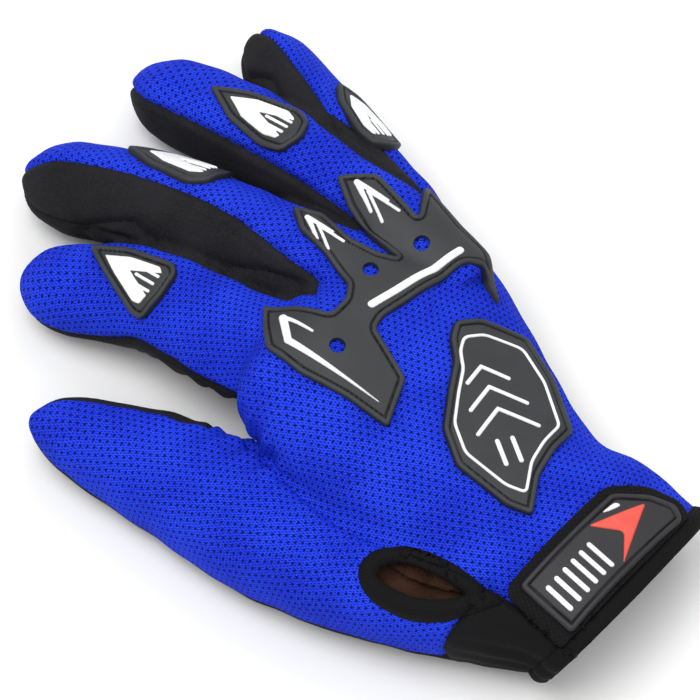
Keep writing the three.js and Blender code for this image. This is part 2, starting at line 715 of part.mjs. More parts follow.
addPiece("back_panel", makeBackPanel(), "blueMesh");
addPiece("thumb_panel", makeThumbPanel(), "blueMesh");
addPiece("palm_panel", makePalmPanel(), "blackCloth");
SIDE_STRIPS.forEach((strip, i) => {
  addPiece(`${strip.limb}_${strip.side}_strip`, makeSideStrip(strip, SIDE_STRIPS.slice(0, i)), "blackCloth");
});
addPiece("cuff_binding", makeCuffBinding(), "binding");
addPiece("slit_binding", makeSlitBinding(), "binding");
addPiece("cuff_lining", makeLining(), "lining");
addPiece("wrist_strap", makeStrap(), "strapCloth");
addPiece("strap_tab", main(rimmedPlate(TAB, HAND_PLACE, TAB_SEAT, layer)), "rubber");
addPiece("strap_stripe", raisedMark(block(STRIPE, HAND_PLACE), TAB_SEAT, layer), "red");
addPiece("strap_accent", raisedMark(block(ACCENT, HAND_PLACE), TAB_SEAT, layer), "white");
makeTabBars().forEach((bar, i) => addPiece(`strap_bar_${i + 1}`, bar, "white"));
addPiece("knuckle_guard", makeKnuckleGuard(), "rubber");
const guardLine = (rows, width) => raisedMark(line(rows, HAND_PLACE, width), GAP, layer);
addPiece("knuckle_bar", guardLine(KNUCKLE_BAR, BAR_WIDTH), "white");
addPiece("index_bolt", guardLine(INDEX_BOLT, MARK_WIDTH), "white");
addPiece("middle_chevron", guardLine(MIDDLE_CHEVRON, MARK_WIDTH), "white");
addPiece("ring_chevron", guardLine(RING_CHEVRON, MARK_WIDTH), "white");
for (const guard of FINGER_GUARDS) {
  const made = makeFingerGuard(guard);
  addPiece(`${guard.limb}_guard`, made.guard, "rubber");
  addPiece(`${guard.limb}_wedge`, made.wedge, "white");
}
addPiece("hand_patch", main(rimmedPlate(HAND_PATCH, HAND_PLACE, GAP, layer)), "rubber");
const patchRows = scaledRows(HAND_PATCH, PATCH_LINE_SHARE);
const patchLine = block(patchRows, HAND_PLACE).subtract(insetBlock(patchRows, HAND_PLACE, MARK_WIDTH));
addPiece("patch_outline", raisedMark(patchLine, GAP, layer), "white");

// The glove's box stands centred on the origin, on the floor
const box = new THREE.Box3().setFromObject(glove);
const middle = box.getCenter(new THREE.Vector3());
glove.position.set(-middle.x, -middle.y, -box.min.z);

export default glove;
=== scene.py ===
# A right-hand motorcycle glove of blue air mesh with black palm, moulded rubber guards and a wrist strap.
# Shapes are worked out in millimetres in the glove's own frame: the wrist's middle is at the origin in
# plan and the floor is at z = 0. Pieces go to Blender in metres, at the CAD model's place.
import math
import bpy
import numpy as np
from mathutils import Matrix, Vector


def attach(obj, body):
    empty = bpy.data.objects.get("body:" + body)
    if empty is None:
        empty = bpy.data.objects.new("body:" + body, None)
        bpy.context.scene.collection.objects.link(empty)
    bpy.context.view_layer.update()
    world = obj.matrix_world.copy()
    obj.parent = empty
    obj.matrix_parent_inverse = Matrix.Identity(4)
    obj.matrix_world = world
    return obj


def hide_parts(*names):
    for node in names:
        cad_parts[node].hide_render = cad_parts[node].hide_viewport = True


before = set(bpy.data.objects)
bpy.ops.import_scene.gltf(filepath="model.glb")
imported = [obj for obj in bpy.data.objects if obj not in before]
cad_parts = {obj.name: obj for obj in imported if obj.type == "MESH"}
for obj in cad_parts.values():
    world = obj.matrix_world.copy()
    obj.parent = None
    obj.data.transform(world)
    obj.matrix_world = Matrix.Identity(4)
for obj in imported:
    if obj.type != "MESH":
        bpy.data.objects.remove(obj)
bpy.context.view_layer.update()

MM = 0.001
WRIST_MIDDLE = np.array([-24.62, -109.91, 0.0])

# The camera stands at the photograph's angle, one metre away
CAMERA_AZIMUTH = -57.0
CAMERA_ELEVATION = 62.0
CAMERA_DISTANCE = 1.0
CAMERA_TARGET = Vector((-0.0055, -0.0019, 0.025))
SENSOR_WIDTH = 36.0
VIEW_WIDTH = 203.0

# Driving sizes, as in the CAD model
HAND_LENGTH = 130.0
HAND_WIDTH = 86.0
HAND_THICK = 42.0
WRIST_HEIGHT = 17.0
SECTION_POWER = 2.3
CLOTH_WALL = 1.7
VOXEL = 0.95
PLATE_STEP = 0.27

# at, side and lift are shares of the length; wide, thick and deep are shares of the width and thickness;
# roll turns the section, and radial and ulnar place the panel seams, in degrees
COLUMNS = ["at", "side", "lift", "wide", "thick", "deep", "roll", "radial", "ulnar"]

LIMBS = {
    "hand": dict(
        length=HAND_LENGTH, width=HAND_WIDTH, thick=HAND_THICK, heading=10.0, tip=0.14,
        root=(0.0, 0.0, 0.0),
        rows=[
            (0.00, -0.010, 0.00, 0.78, 0.78, 0.90, 4, 75, 75),
            (0.18, -0.023, 0.01, 0.83, 0.82, 0.98, 4, 75, 75),
            (0.29, -0.050, 0.02, 0.82, 0.86, 1.06, 6, 75, 75),
            (0.40, -0.035, 0.03, 0.86, 0.92, 1.12, 8, 92, 75),
            (0.55, -0.015, 0.05, 0.98, 0.98, 1.24, 10, 100, 75),
            (0.75, 0.019, 0.09, 1.07, 0.98, 1.30, 12, 98, 75),
            (0.90, 0.030, 0.11, 1.05, 0.86, 1.05, 14, 94, 75),
            (1.00, 0.032, 0.11, 0.96, 0.72, 0.80, 14, 88, 75),
        ],
    ),
    "index": dict(
        length=119.0, width=30.0, thick=26.0, heading=-5.0, tip=0.11, root=(0.676, -0.098, 0.333),
        rows=[
            (0.00, 0.00, 0.00, 1.06, 1.00, 1.00, -16, 92, 75),
            (0.20, 0.00, 0.02, 1.06, 1.02, 1.02, -16, 88, 75),
            (0.40, -0.01, -0.01, 1.04, 1.00, 1.00, -16, 72, 75),
            (0.65, 0.03, -0.08, 1.04, 0.98, 1.05, -16, 68, 75),
            (0.85, -0.01, -0.135, 0.92, 0.90, 1.10, -16, 86, 75),
            (1.00, -0.05, -0.16, 0.70, 0.74, 0.90, -14, 92, 75),
        ],
    ),
    "middle": dict(
        length=134.0, width=29.0, thick=28.0, heading=-3.0, tip=0.11, root=(0.75, 0.202, 0.381),
        rows=[
            (0.00, 0.00, 0.00, 1.00, 1.00, 1.00, 10, 60, 75),
            (0.25, 0.00, 0.01, 1.00, 1.00, 1.00, 25, 60, 75),
            (0.45, 0.01, -0.03, 1.00, 1.00, 1.00, 45, 55, 75),
            (0.65, 0.01, -0.08, 1.00, 1.00, 1.05, 49, 50, 75),
            (0.85, -0.01, -0.125, 0.92, 0.95, 1.10, 49, 50, 75),
            (1.00, -0.05, -0.15, 0.70, 0.74, 0.90, 45, 45, 75),
        ],
    ),
    "ring": dict(
        length=131.0, width=27.0, thick=26.0, heading=10.5, tip=0.11, root=(0.725, 0.386, 0.381),
        rows=[
            (0.00, 0.00, 0.00, 0.78, 0.84, 0.84, 15, 60, 75),
            (0.25, 0.01, 0.00, 1.00, 1.00, 1.00, 15, 60, 75),
            (0.45, 0.015, -0.03, 1.00, 1.00, 1.00, 12, 60, 75),
            (0.65, 0.008, -0.08, 0.98, 1.00, 1.05, 10, 60, 75),
            (0.85, -0.015, -0.125, 0.94, 0.95, 1.15, 10, 60, 75),
            (1.00, -0.055, -0.15, 0.74, 0.76, 1.00, 10, 60, 75),
        ],
    ),
    "little": dict(
        length=113.0, width=23.0, thick=22.0, heading=26.5, tip=0.11, root=(0.783, 0.417, 0.262),
        rows=[
            (0.00, 0.00, 0.00, 0.85, 0.90, 0.90, 25, 60, 75),
            (0.25, -0.01, 0.00, 1.00, 1.00, 1.00, 35, 60, 75),
            (0.45, -0.02, -0.03, 1.00, 1.00, 1.00, 45, 60, 75),
            (0.65, -0.015, -0.08, 0.98, 1.00, 1.05, 50, 55, 75),
            (0.85, -0.015, -0.125, 0.90, 0.92, 1.10, 52, 50, 75),
            (1.00, -0.02, -0.15, 0.70, 0.70, 0.90, 52, 45, 75),
        ],
    ),
    "thumb": dict(
        length=171.0, width=38.0, thick=34.0, heading=-10.0, tip=0.08, root=(0.035, -0.234, 0.0),
        rows=[
            (0.00, 0.020, 0.00, 0.70, 0.84, 0.90, -6, 100, 55),
            (0.14, -0.015, 0.00, 0.76, 0.92, 1.00, -8, 100, 55),
            (0.278, -0.038, 0.01, 0.82, 0.98, 1.10, -10, 100, 62),
            (0.42, -0.036, 0.00, 0.92, 1.00, 1.10, -10, 98, 76),
            (0.551, -0.014, -0.01, 1.04, 1.00, 1.05, -10, 98, 76),
            (0.712, 0.014, -0.02, 0.94, 0.95, 1.00, -10, 100, 56),
            (0.843, 0.020, -0.02, 0.74, 0.80, 0.95, -10, 95, 55),
            (1.00, 0.022, -0.02, 0.38, 0.50, 0.60, -10, 90, 55),
        ],
    ),
}

# Outlines on the hand: shares of its length (from the wrist) and of its width (towards the little finger)
THUMB_SEAM = [
    (-0.2, -0.34), (0.17, -0.34), (0.3, -0.42), (0.446, -0.502), (0.535, -0.54), (0.66, -0.542),
    (0.785, -0.512), (0.885, -0.482), (1.0, -0.5), (1.27, -0.65), (1.7, -0.85), (1.7, -2), (-0.2, -2),
]
WRIST_BLACK = [(-0.2, -0.34), (0.215, -0.34), (0.215, -2), (-0.2, -2)]
SLIT = [
    (0.452, -0.6), (0.447, -0.522), (0.4, -0.435), (0.313, -0.388), (0.208, -0.367), (0.163, -0.36),
    (0.182, -0.412), (0.223, -0.525), (0.286, -0.61), (0.361, -0.65), (0.416, -0.648),
]
STRAP = [(0.006, -0.335), (0.006, 0.27), (0.06, 0.3), (0.13, 0.25), (0.185, 0.15), (0.185, -0.335)]
TAB = [(0.165, -0.3), (0.014, -0.296), (0.016, 0.235), (0.052, 0.262), (0.105, 0.225), (0.163, 0.135)]
STRIPE = [(0.146, -0.01), (0.097, 0.19), (0.032, -0.03), (0.083, 0.06)]
ACCENT = [(0.146, 0.055), (0.138, 0.075), (0.127, 0.125), (0.143, 0.118)]
KNUCKLE_GUARD = [
    (1.0, -0.172), (0.899, -0.304), (0.807, -0.299), (0.7, -0.255), (0.592, -0.228), (0.642, -0.063),
    (0.765, -0.007), (0.775, 0.044), (0.753, 0.405), (0.728, 0.453), (0.65, 0.414), (0.749, 0.517),
    (0.831, 0.52), (0.967, 0.565), (0.9, 0.425), (1.041, 0.459), (1.11, 0.367), (1.034, 0.308),
    (0.951, 0.27), (0.862, 0.262), (0.9, 0.225), (0.97, 0.2), (1.066, 0.222), (1.128, 0.173),
    (1.062, 0.109), (0.979, 0.096), (0.887, 0.06), (0.862, 0.006), (0.858, -0.073), (0.921, -0.116),
]
KNUCKLE_HOLES = [(0.792, -0.146), (0.878, 0.154), (0.85, 0.363)]
KNUCKLE_BAR = [(0.812, 0.05), (0.78, 0.43)]
INDEX_STROKES = [
    ([(0.925, -0.18), (0.875, -0.242)], (2.2, 2.2)), ([(0.925, -0.18), (0.853, -0.165)], (1.5, 0.8)),
    ([(0.875, -0.242), (0.645, -0.19)], (2.2, 0.3)),
]
MIDDLE_ARROWS = [(1.075, 0.163), (1.005, 0.173), (1.015, 0.118), (-0.035, -0.003)]
RING_ARROWS = [(1.06, 0.388), (0.975, 0.4), (0.985, 0.34), (-0.035, -0.003)]
HAND_PATCH = [
    (0.672, 0.225), (0.645, 0.305), (0.556, 0.395), (0.45, 0.35), (0.328, 0.238), (0.32, 0.13),
    (0.3, 0.02), (0.248, -0.1), (0.3, -0.137), (0.435, -0.158), (0.512, -0.098), (0.565, 0.014),
    (0.607, 0.113), (0.65, 0.165),
]
FINGER_GUARDS = {
    "index": [
        (0.834, 0.25), (0.755, 0.02), (0.64, -0.29), (0.604, -0.31), (0.572, -0.05), (0.562, 0.2),
        (0.585, 0.3), (0.72, 0.33),
    ],
    "middle": [
        (0.775, -0.12), (0.69, -0.3), (0.57, -0.36), (0.53, -0.28), (0.522, 0.02), (0.54, 0.24),
        (0.6, 0.28), (0.7, 0.16),
    ],
    "ring": [
        (0.779, -0.1), (0.68, -0.3), (0.563, -0.37), (0.505, -0.33), (0.487, -0.1), (0.51, 0.14),
        (0.555, 0.22), (0.684, 0.11),
    ],
    "little": [
        (0.66, -0.1), (0.58, -0.28), (0.45, -0.34), (0.39, -0.28), (0.375, 0), (0.4, 0.24),
        (0.47, 0.28), (0.6, 0.14),
    ],
}
BACK_LIMBS = ["hand", "index", "middle", "ring", "little"]
HAND_BACK_END = 0.88
FINGER_END = 1.1
PALM_SEAM = 128.0
SIDE_STRIPS = [
    ("index", "ulnar", 0.24), ("middle", "radial", 0.15), ("middle", "ulnar", 0.12),
    ("ring", "radial", 0.14), ("ring", "ulnar", 0.2), ("little", "radial", 0.12),
]
WEDGE_REACH = 5.0

UP = np.array([0.0, 0.0, 1.0])


def heading_vectors(degrees):
    """Level unit vectors ahead along a heading and across it to the right."""
    angle = math.radians(degrees)
    ahead = np.array([math.sin(angle), math.cos(angle), 0.0])
    across = np.array([math.cos(angle), -math.sin(angle), 0.0])
    return ahead, across


HAND_AHEAD, HAND_ACROSS = heading_vectors(LIMBS["hand"]["heading"])
HAND_ROOT = WRIST_HEIGHT * UP


def hand_point(along, across, up=0.0):
    """The wrist's middle plus shares of the hand's length, width and thickness along its own axes."""
    return (HAND_ROOT + along * HAND_LENGTH * HAND_AHEAD + across * HAND_WIDTH * HAND_ACROSS
            + up * HAND_THICK * UP)


def read_rows(rows, at):
    """Cubic curves through the table's rows; each slope is that of the line between a row's neighbours."""
    rows = np.asarray(rows, float)
    place = np.clip(at, rows[0, 0], rows[-1, 0])
    low = np.clip(np.searchsorted(rows[:, 0], place, side="right") - 1, 0, len(rows) - 2)
    before = rows[np.maximum(low - 1, 0)]
    p = rows[low]
    q = rows[low + 1]
    after = rows[np.minimum(low + 2, len(rows) - 1)]
    step = (q[:, :1] - p[:, :1])
    u = (place[:, None] - p[:, :1]) / step
    leave = (q - before) / (q[:, :1] - before[:, :1]) * step
    arrive = (after - p) / (after[:, :1] - p[:, :1]) * step
    value = ((2 * u**3 - 3 * u**2 + 1) * p + (u**3 - 2 * u**2 + u) * leave
             + (3 * u**2 - 2 * u**3) * q + (u**3 - u**2) * arrive)
    return {name: value[:, i] for i, name in enumerate(COLUMNS)}


def limb_centre(limb, at):
    """The limb's root plus its heading times the distance, moved across and up by the table's shares."""
    ahead, across = heading_vectors(limb["heading"])
    row = read_rows(limb["rows"], at)
    length = limb["length"]
    return (hand_point(*limb["root"]) + np.outer(at * length, ahead)
            + np.outer(row["side"] * length, across) + np.outer(row["lift"] * length, UP))


def stations(limb, at):
    """The section's centre and axes: ahead is the centre line's tangent, and roll turns the other two."""
    at = np.atleast_1d(np.asarray(at, float))
    step = 0.01
    near = np.minimum(at, 1 - step)
    if limb is LIMBS["hand"]:
        ahead = np.tile(HAND_AHEAD, (len(at), 1))
    else:
        ahead = limb_centre(limb, near + step) - limb_centre(limb, near - step)
        ahead /= np.linalg.norm(ahead, axis=1, keepdims=True)
    level = np.cross(ahead, UP)
    level /= np.linalg.norm(level, axis=1, keepdims=True)
    upright = np.cross(level, ahead)
    row = read_rows(limb["rows"], at)
    roll = np.radians(row["roll"])[:, None]
    return dict(
        row=row, centre=limb_centre(limb, at), ahead=ahead,
        across=level * np.cos(roll) - upright * np.sin(roll),
        back=upright * np.cos(roll) + level * np.sin(roll),
    )


def section_point(limb, row, angle, grow=0.0):
    """Superellipse: a power of sine times the half width, and of cosine times the half height."""
    sine, cosine = np.sin(angle), np.cos(angle)
    high = np.where(cosine > 0, row["thick"], row["deep"]) * limb["thick"] / 2 + grow
    wide = row["wide"] * limb["width"] / 2 + grow
    power = 2 / SECTION_POWER
    return np.sign(sine) * np.abs(sine)**power * wide, np.sign(cosine) * np.abs(cosine)**power * high


class Surface:
    """Points, triangles and named values at the points, all as whole arrays."""

    def __init__(self, points, triangles, **values):
        self.points = points
        self.triangles = triangles
        self.values = values

    def __getitem__(self, name):
        return self.values[name]

    def normals(self):
        """Each point's mean of its triangles' cross products, made one long."""
        a, b, c = (self.points[self.triangles[:, k]] for k in range(3))
        cross = np.cross(b - a, c - a)
        total = np.zeros_like(self.points)
        for axis in range(3):
            weights = np.tile(cross[:, axis], 3)
            total[:, axis] = np.bincount(self.triangles.T.ravel(), weights, minlength=len(self.points))
        return total / np.maximum(np.linalg.norm(total, axis=1, keepdims=True), 1e-12)

    def moved(self, distance):
        """The surface with each point moved along its normal."""
        points = self.points + self.normals() * np.reshape(distance, (-1, 1))
        return Surface(points, self.triangles, **self.values)

    def edges(self):
        """Each triangle's three edges, as pairs of points in its own direction."""
        return np.vstack([self.triangles[:, pair] for pair in ([0, 1], [1, 2], [2, 0])])

    def smoothed(self, rounds):
        """Each round moves every point halfway to the mean of its neighbours."""
        pairs = self.edges()
        start = np.concatenate([pairs[:, 0], pairs[:, 1]])
        end = np.concatenate([pairs[:, 1], pairs[:, 0]])
        count = np.bincount(start, minlength=len(self.points))[:, None]
        points = self.points
        for _ in range(rounds):
            total = np.stack([
                np.bincount(start, points[end, axis], minlength=len(points)) for axis in range(3)
            ], axis=1)
            points = 0.5 * points + 0.5 * total / np.maximum(count, 1)
        return Surface(points, self.triangles, **self.values)

    def kept(self, field):
        """The part where field is positive: a triangle that crosses zero is cut along the straight line
        between the two places on its edges where the field, taken as even along an edge, is zero."""
        tiny = 1e-4
        field = np.where(np.abs(field) < tiny, tiny, field)
        inside = field > 0
        count = inside[self.triangles].sum(axis=1)

        def lone_first(triangles, wanted):
            lone = np.argmax(inside[triangles] == wanted, axis=1)
            return np.take_along_axis(triangles, (lone[:, None] + np.arange(3)) % 3, axis=1)

        one = lone_first(self.triangles[count == 1], True)
        two = lone_first(self.triangles[count == 2], False)
        edges = np.vstack([one[:, [0, 1]], one[:, [0, 2]], two[:, [0, 1]], two[:, [0, 2]]])
        pairs, index = np.unique(np.sort(edges, axis=1), axis=0, return_inverse=True)
        index = index.ravel() + len(self.points)
        p, q = pairs.T
        share = field[p] / (field[p] - field[q])
        crossing = self.points[p] + share[:, None] * (self.points[q] - self.points[p])
        points = np.vstack([self.points, crossing])
        values = {
            name: np.concatenate([value, value[p] + share * (value[q] - value[p])])
            for name, value in self.values.items()
        }
        bounds = np.cumsum([len(one), len(one), len(two)])
        one_b, one_c, two_b, two_c = np.split(index, bounds)
        triangles = np.vstack([
            self.triangles[count == 3],
            np.stack([one[:, 0], one_b, one_c], axis=1),
            np.stack([two_b, two[:, 1], two[:, 2]], axis=1),
            np.stack([two_b, two[:, 2], two_c], axis=1),
        ])
        used, triangles = np.unique(triangles, return_inverse=True)
        values = {name: value[used] for name, value in values.items()}
        return Surface(points[used], triangles.reshape(-1, 3), **values)

    def largest(self):
        """Only the largest connected part: each point takes the least number among its neighbours, then
        that number's own, until nothing changes."""
        start, end = self.edges().T
        labels = np.arange(len(self.points))
        last = None
        while last is None or (labels != last).any():
            last = labels.copy()
            low = np.minimum(labels[start], labels[end])
            np.minimum.at(labels, start, low)
            np.minimum.at(labels, end, low)
            labels = labels[labels]
        return self.kept(np.where(labels == np.bincount(labels).argmax(), 1.0, -1.0))

    def border(self):
        """The edges that only one triangle uses, in that triangle's direction."""
        pairs = self.edges()
        _, index, count = np.unique(np.sort(pairs, axis=1), axis=0, return_inverse=True, return_counts=True)
        return pairs[count[index.ravel()] == 1]


def joined(surfaces):
    """Several surfaces in one."""
    starts = np.cumsum([0] + [len(s.points) for s in surfaces[:-1]])
    triangles = np.vstack([s.triangles + start for s, start in zip(surfaces, starts)])
    return Surface(np.vstack([s.points for s in surfaces]), triangles)


def grid_triangles(rows, columns, wrap=False):
    """Two triangles for each cell of a grid of points, whose last column may join its first."""
    index = np.arange(rows * columns).reshape(rows, columns)
    if wrap:
        index = np.hstack([index, index[:, :1]])
    a, b, c, d = index[:-1, :-1], index[:-1, 1:], index[1:, 1:], index[1:, :-1]
    return np.vstack([
        np.stack([a, b, c], axis=-1).reshape(-1, 3), np.stack([a, c, d], axis=-1).reshape(-1, 3),
    ])


CUFF_OVERLAP = 8.0


def limb_surface(name, sides=96, body=70, tip=24):
    """Superellipse sections at each station; the tip's follow a quarter ellipse: the distance grows with
    the sine of the turn and the section shrinks with its cosine. Points stay above the floor."""
    limb = LIMBS[name]
    start = -CUFF_OVERLAP / limb["length"] if name == "hand" else 0.0
    tip_start = 1 - limb["tip"]
    turn = np.concatenate([np.zeros(body), np.linspace(0, math.pi / 2 - 0.01, tip)])
    at = np.concatenate([np.linspace(start, tip_start, body, endpoint=False), np.full(tip, tip_start)])
    at = at + limb["tip"] * np.sin(turn)
    place = stations(limb, at)
    angle = np.linspace(-math.pi, math.pi, sides, endpoint=False)
    row = {key: value[:, None] for key, value in place["row"].items()}
    x, y = section_point(limb, row, angle[None, :])
    shrink = np.cos(turn)[:, None]
    points = (place["centre"][:, None] + place["across"][:, None] * (x * shrink)[..., None]
              + place["back"][:, None] * (y * shrink)[..., None])
    points[..., 2] = np.maximum(points[..., 2], 0.0)
    triangles = grid_triangles(len(at), sides, wrap=True)
    caps = np.array([(0, i + 1, i + 2) for i in range(sides - 2)])
    last = (len(at) - 1) * sides
    triangles = np.vstack([triangles, caps[:, ::-1], caps + last])
    return Surface(points.reshape(-1, 3), triangles)


def to_mesh(name, surface):
    """A Blender mesh in metres at the CAD model's place."""
    mesh = bpy.data.meshes.new(name)
    points = (surface.points + WRIST_MIDDLE) * MM
    triangles = surface.triangles
    mesh.vertices.add(len(points))
    mesh.vertices.foreach_set("co", points.ravel())
    mesh.loops.add(triangles.size)
    mesh.loops.foreach_set("vertex_index", triangles.ravel().astype(np.int32))
    mesh.polygons.add(len(triangles))
    mesh.polygons.foreach_set("loop_start", np.arange(0, triangles.size, 3, dtype=np.int32))
    mesh.update(calc_edges=True)
    mesh.polygons.foreach_set("use_smooth", np.ones(len(triangles), bool))
    return mesh


def read_mesh(obj):
    """The object's points, with its modifiers, in metres in its own frame, and its triangles."""
    graph = bpy.context.evaluated_depsgraph_get()
    solved = obj.evaluated_get(graph)
    mesh = solved.to_mesh()
    points = np.empty(len(mesh.vertices) * 3)
    mesh.vertices.foreach_get("co", points)
    mesh.calc_loop_triangles()
    triangles = np.empty(len(mesh.loop_triangles) * 3, np.int32)
    mesh.loop_triangles.foreach_get("vertices", triangles)
    solved.to_mesh_clear()
    return points.reshape(-1, 3), triangles.reshape(-1, 3)


def linked_object(name, data):
    obj = bpy.data.objects.new(name, data)
    bpy.context.scene.collection.objects.link(obj)
    return obj


def discard(obj):
    mesh = obj.data
    bpy.data.objects.remove(obj)
    bpy.data.meshes.remove(mesh)


def remeshed(surface, voxel):
    """One closed skin round all the overlapping forms."""
    obj = linked_object("scratch_form", to_mesh("scratch_form", surface))
    modifier = obj.modifiers.new("remesh", "REMESH")
    modifier.mode = "VOXEL"
    modifier.voxel_size = voxel * MM
    points, triangles = read_mesh(obj)
    discard(obj)
    return Surface(points / MM - WRIST_MIDDLE, triangles)


def rounded(points, radius=1.6, pieces=6):
    """A closed outline whose corners are parabolas: each starts and ends on the corner's two sides, a
    radius away from it or 45% of the side where that is less, and bends towards the corner."""
    corner = np.asarray(points, float)
    to_last = np.roll(corner, 1, axis=0) - corner
    to_next = np.roll(corner, -1, axis=0) - corner
    ends = []
    for side in (to_last, to_next):
        length = np.linalg.norm(side, axis=1, keepdims=True)
        ends.append(corner + side * np.minimum(radius / length, 0.45))
    u = np.linspace(0, 1, pieces)[None, :, None]
    start, end = ends[0][:, None], ends[1][:, None]
    curve = (1 - u)**2 * start + 2 * u * (1 - u) * corner[:, None] + u**2 * end
    return curve.reshape(-1, 2)


def line_place(x, y, start, end):
    """How far along a straight line its nearest point lies, as a share, and the distance to that point."""
    away_x, away_y = x - start[0], y - start[1]
    dx, dy = end[0] - start[0], end[1] - start[1]
    share = np.clip((away_x * dx + away_y * dy) / (dx * dx + dy * dy + 1e-12), 0, 1)
    return share, np.hypot(away_x - share * dx, away_y - share * dy)


def outline_distance(x, y, outline):
    """The distance from a closed outline: the least to any of its sides, positive inside by crossings."""
    nearest = np.full(len(x), np.inf)
    inside = np.zeros(len(x), bool)
    for start, end in zip(outline, np.roll(outline, -1, axis=0)):
        nearest = np.minimum(nearest, line_place(x, y, start, end)[1])
        if start[1] != end[1]:
            crosses = (start[1] > y) != (end[1] > y)
            inside ^= crosses & (x < start[0] + (y - start[1]) / (end[1] - start[1]) * (end[0] - start[0]))
    return np.where(inside, nearest, -nearest)


def stroke_distance(x, y, strokes):
    """Half a stroke's width less the distance to it, for the best of several strokes: each is a line of
    points with their widths, and between two points the width changes evenly."""
    best = np.full(len(x), -np.inf)
    for points in strokes:
        for start, end in zip(points[:-1], points[1:]):
            share, distance = line_place(x, y, start, end)
            best = np.maximum(best, (start[2] + share * (end[2] - start[2])) / 2 - distance)
    return best


def hand_outline(rows, radius=1.6):
    """Shares of the hand's length and width as millimetres across and along, with rounded corners."""
    plan = np.array([(across * HAND_WIDTH, along * HAND_LENGTH) for along, across in rows])
    return rounded(plan, radius) if radius else plan


def hand_plan(points):
    """Millimetres across and along the hand, seen from above."""
    return points @ HAND_ACROSS, points @ HAND_AHEAD


def limb_place(name, points):
    """Where points lie on a limb: the share of its length whose section plane holds the point, the point's
    two coordinates in that section, and about how far outside the section it is."""
    limb = LIMBS[name]
    if name == "hand":
        at = (points - HAND_ROOT) @ HAND_AHEAD / limb["length"]
    else:
        samples = np.linspace(-0.1, 1.15, 126)
        line = stations(limb, samples)
        offset = points @ line["ahead"].T - np.sum(line["centre"] * line["ahead"], axis=1)
        nearest = np.argmin(np.abs(offset), axis=1)
        rows = np.arange(len(points))
        at = samples[nearest] + offset[rows, nearest] / limb["length"]
    place = stations(limb, at)
    away = points - place["centre"]
    x = np.sum(away * place["across"], axis=1)
    y = np.sum(away * place["back"], axis=1)
    row = place["row"]
    wide = row["wide"] * limb["width"] / 2
    high = np.where(y > 0, row["thick"], row["deep"]) * limb["thick"] / 2
    level = (np.abs(x / wide)**SECTION_POWER + np.abs(y / high)**SECTION_POWER)**(1 / SECTION_POWER)
    past_tip = np.maximum(at - 1, 0) * limb["length"]
    outside = (level - 1) * np.minimum(wide, high) + past_tip
    return dict(limb=limb, at=at, x=x, y=y, row=row, outside=outside)


def seam_distance(place, angle):
    """Millimetres from the plane through a limb's axis and its section's point at an angle in degrees:
    the cross product of that point's direction and the place in the section."""
    ex, ey = section_point(place["limb"], place["row"], np.radians(angle))
    return (ex * place["y"] - ey * place["x"]) / np.hypot(ex, ey)


def wedge_field(place, radial, ulnar, start, end):
    """Millimetres inside a wedge about the limb's axis: the least of the distances to its two seam planes,
    to its start and end, and to a limit a little outside the cloth."""
    length = place["limb"]["length"]
    return np.minimum.reduce([
        -seam_distance(place, radial), seam_distance(place, ulnar), (place["at"] - start) * length,
        (end - place["at"]) * length, WEDGE_REACH - place["outside"],
    ])


def past_back_seam(place, side):
    """Millimetres past one of a limb's back seams, towards its palm."""
    sign = 1 if side == "ulnar" else -1
    return -sign * seam_distance(place, sign * place["row"][side])


def soft_hill(value, middle, half):
    """A bell: the exponential of minus the square of the distance from the middle over the half width."""
    return np.exp(-((value - middle) / half)**2)


def soft_step(value, middle, width):
    """The logistic curve: rises from 0 to 1 about the middle, or falls where the width is negative."""
    return 1 / (1 + np.exp(-(value - middle) / width))


# The whole skin, with the places of its points on every limb
limb_forms = joined([limb_surface(name) for name in LIMBS])
skin = remeshed(limb_forms, VOXEL).smoothed(7)
places = {name: limb_place(name, skin.points) for name in LIMBS}
plan_x, plan_y = hand_plan(skin.points)

# The blue back of the hand ends at a share of its length, and reaches further on by the index finger's
# outer side and by the crotch beside it: each by a share of the length, about a place across in millimetres
OUTER_REACH = 0.17
OUTER_PLACE = -20.0
INNER_REACH = 0.07
INNER_PLACE = 2.0
hand_back_end = (HAND_BACK_END + OUTER_REACH * soft_step(plan_x, OUTER_PLACE, -2.0)
                 + INNER_REACH * soft_hill(plan_x, INNER_PLACE, 8.0))
finger_backs = {}
for name in BACK_LIMBS:
    row = places[name]["row"]
    start, end = (-0.1, hand_back_end) if name == "hand" else (0.0, FINGER_END)
    finger_backs[name] = wedge_field(places[name], -row["radial"], row["ulnar"], start, end)

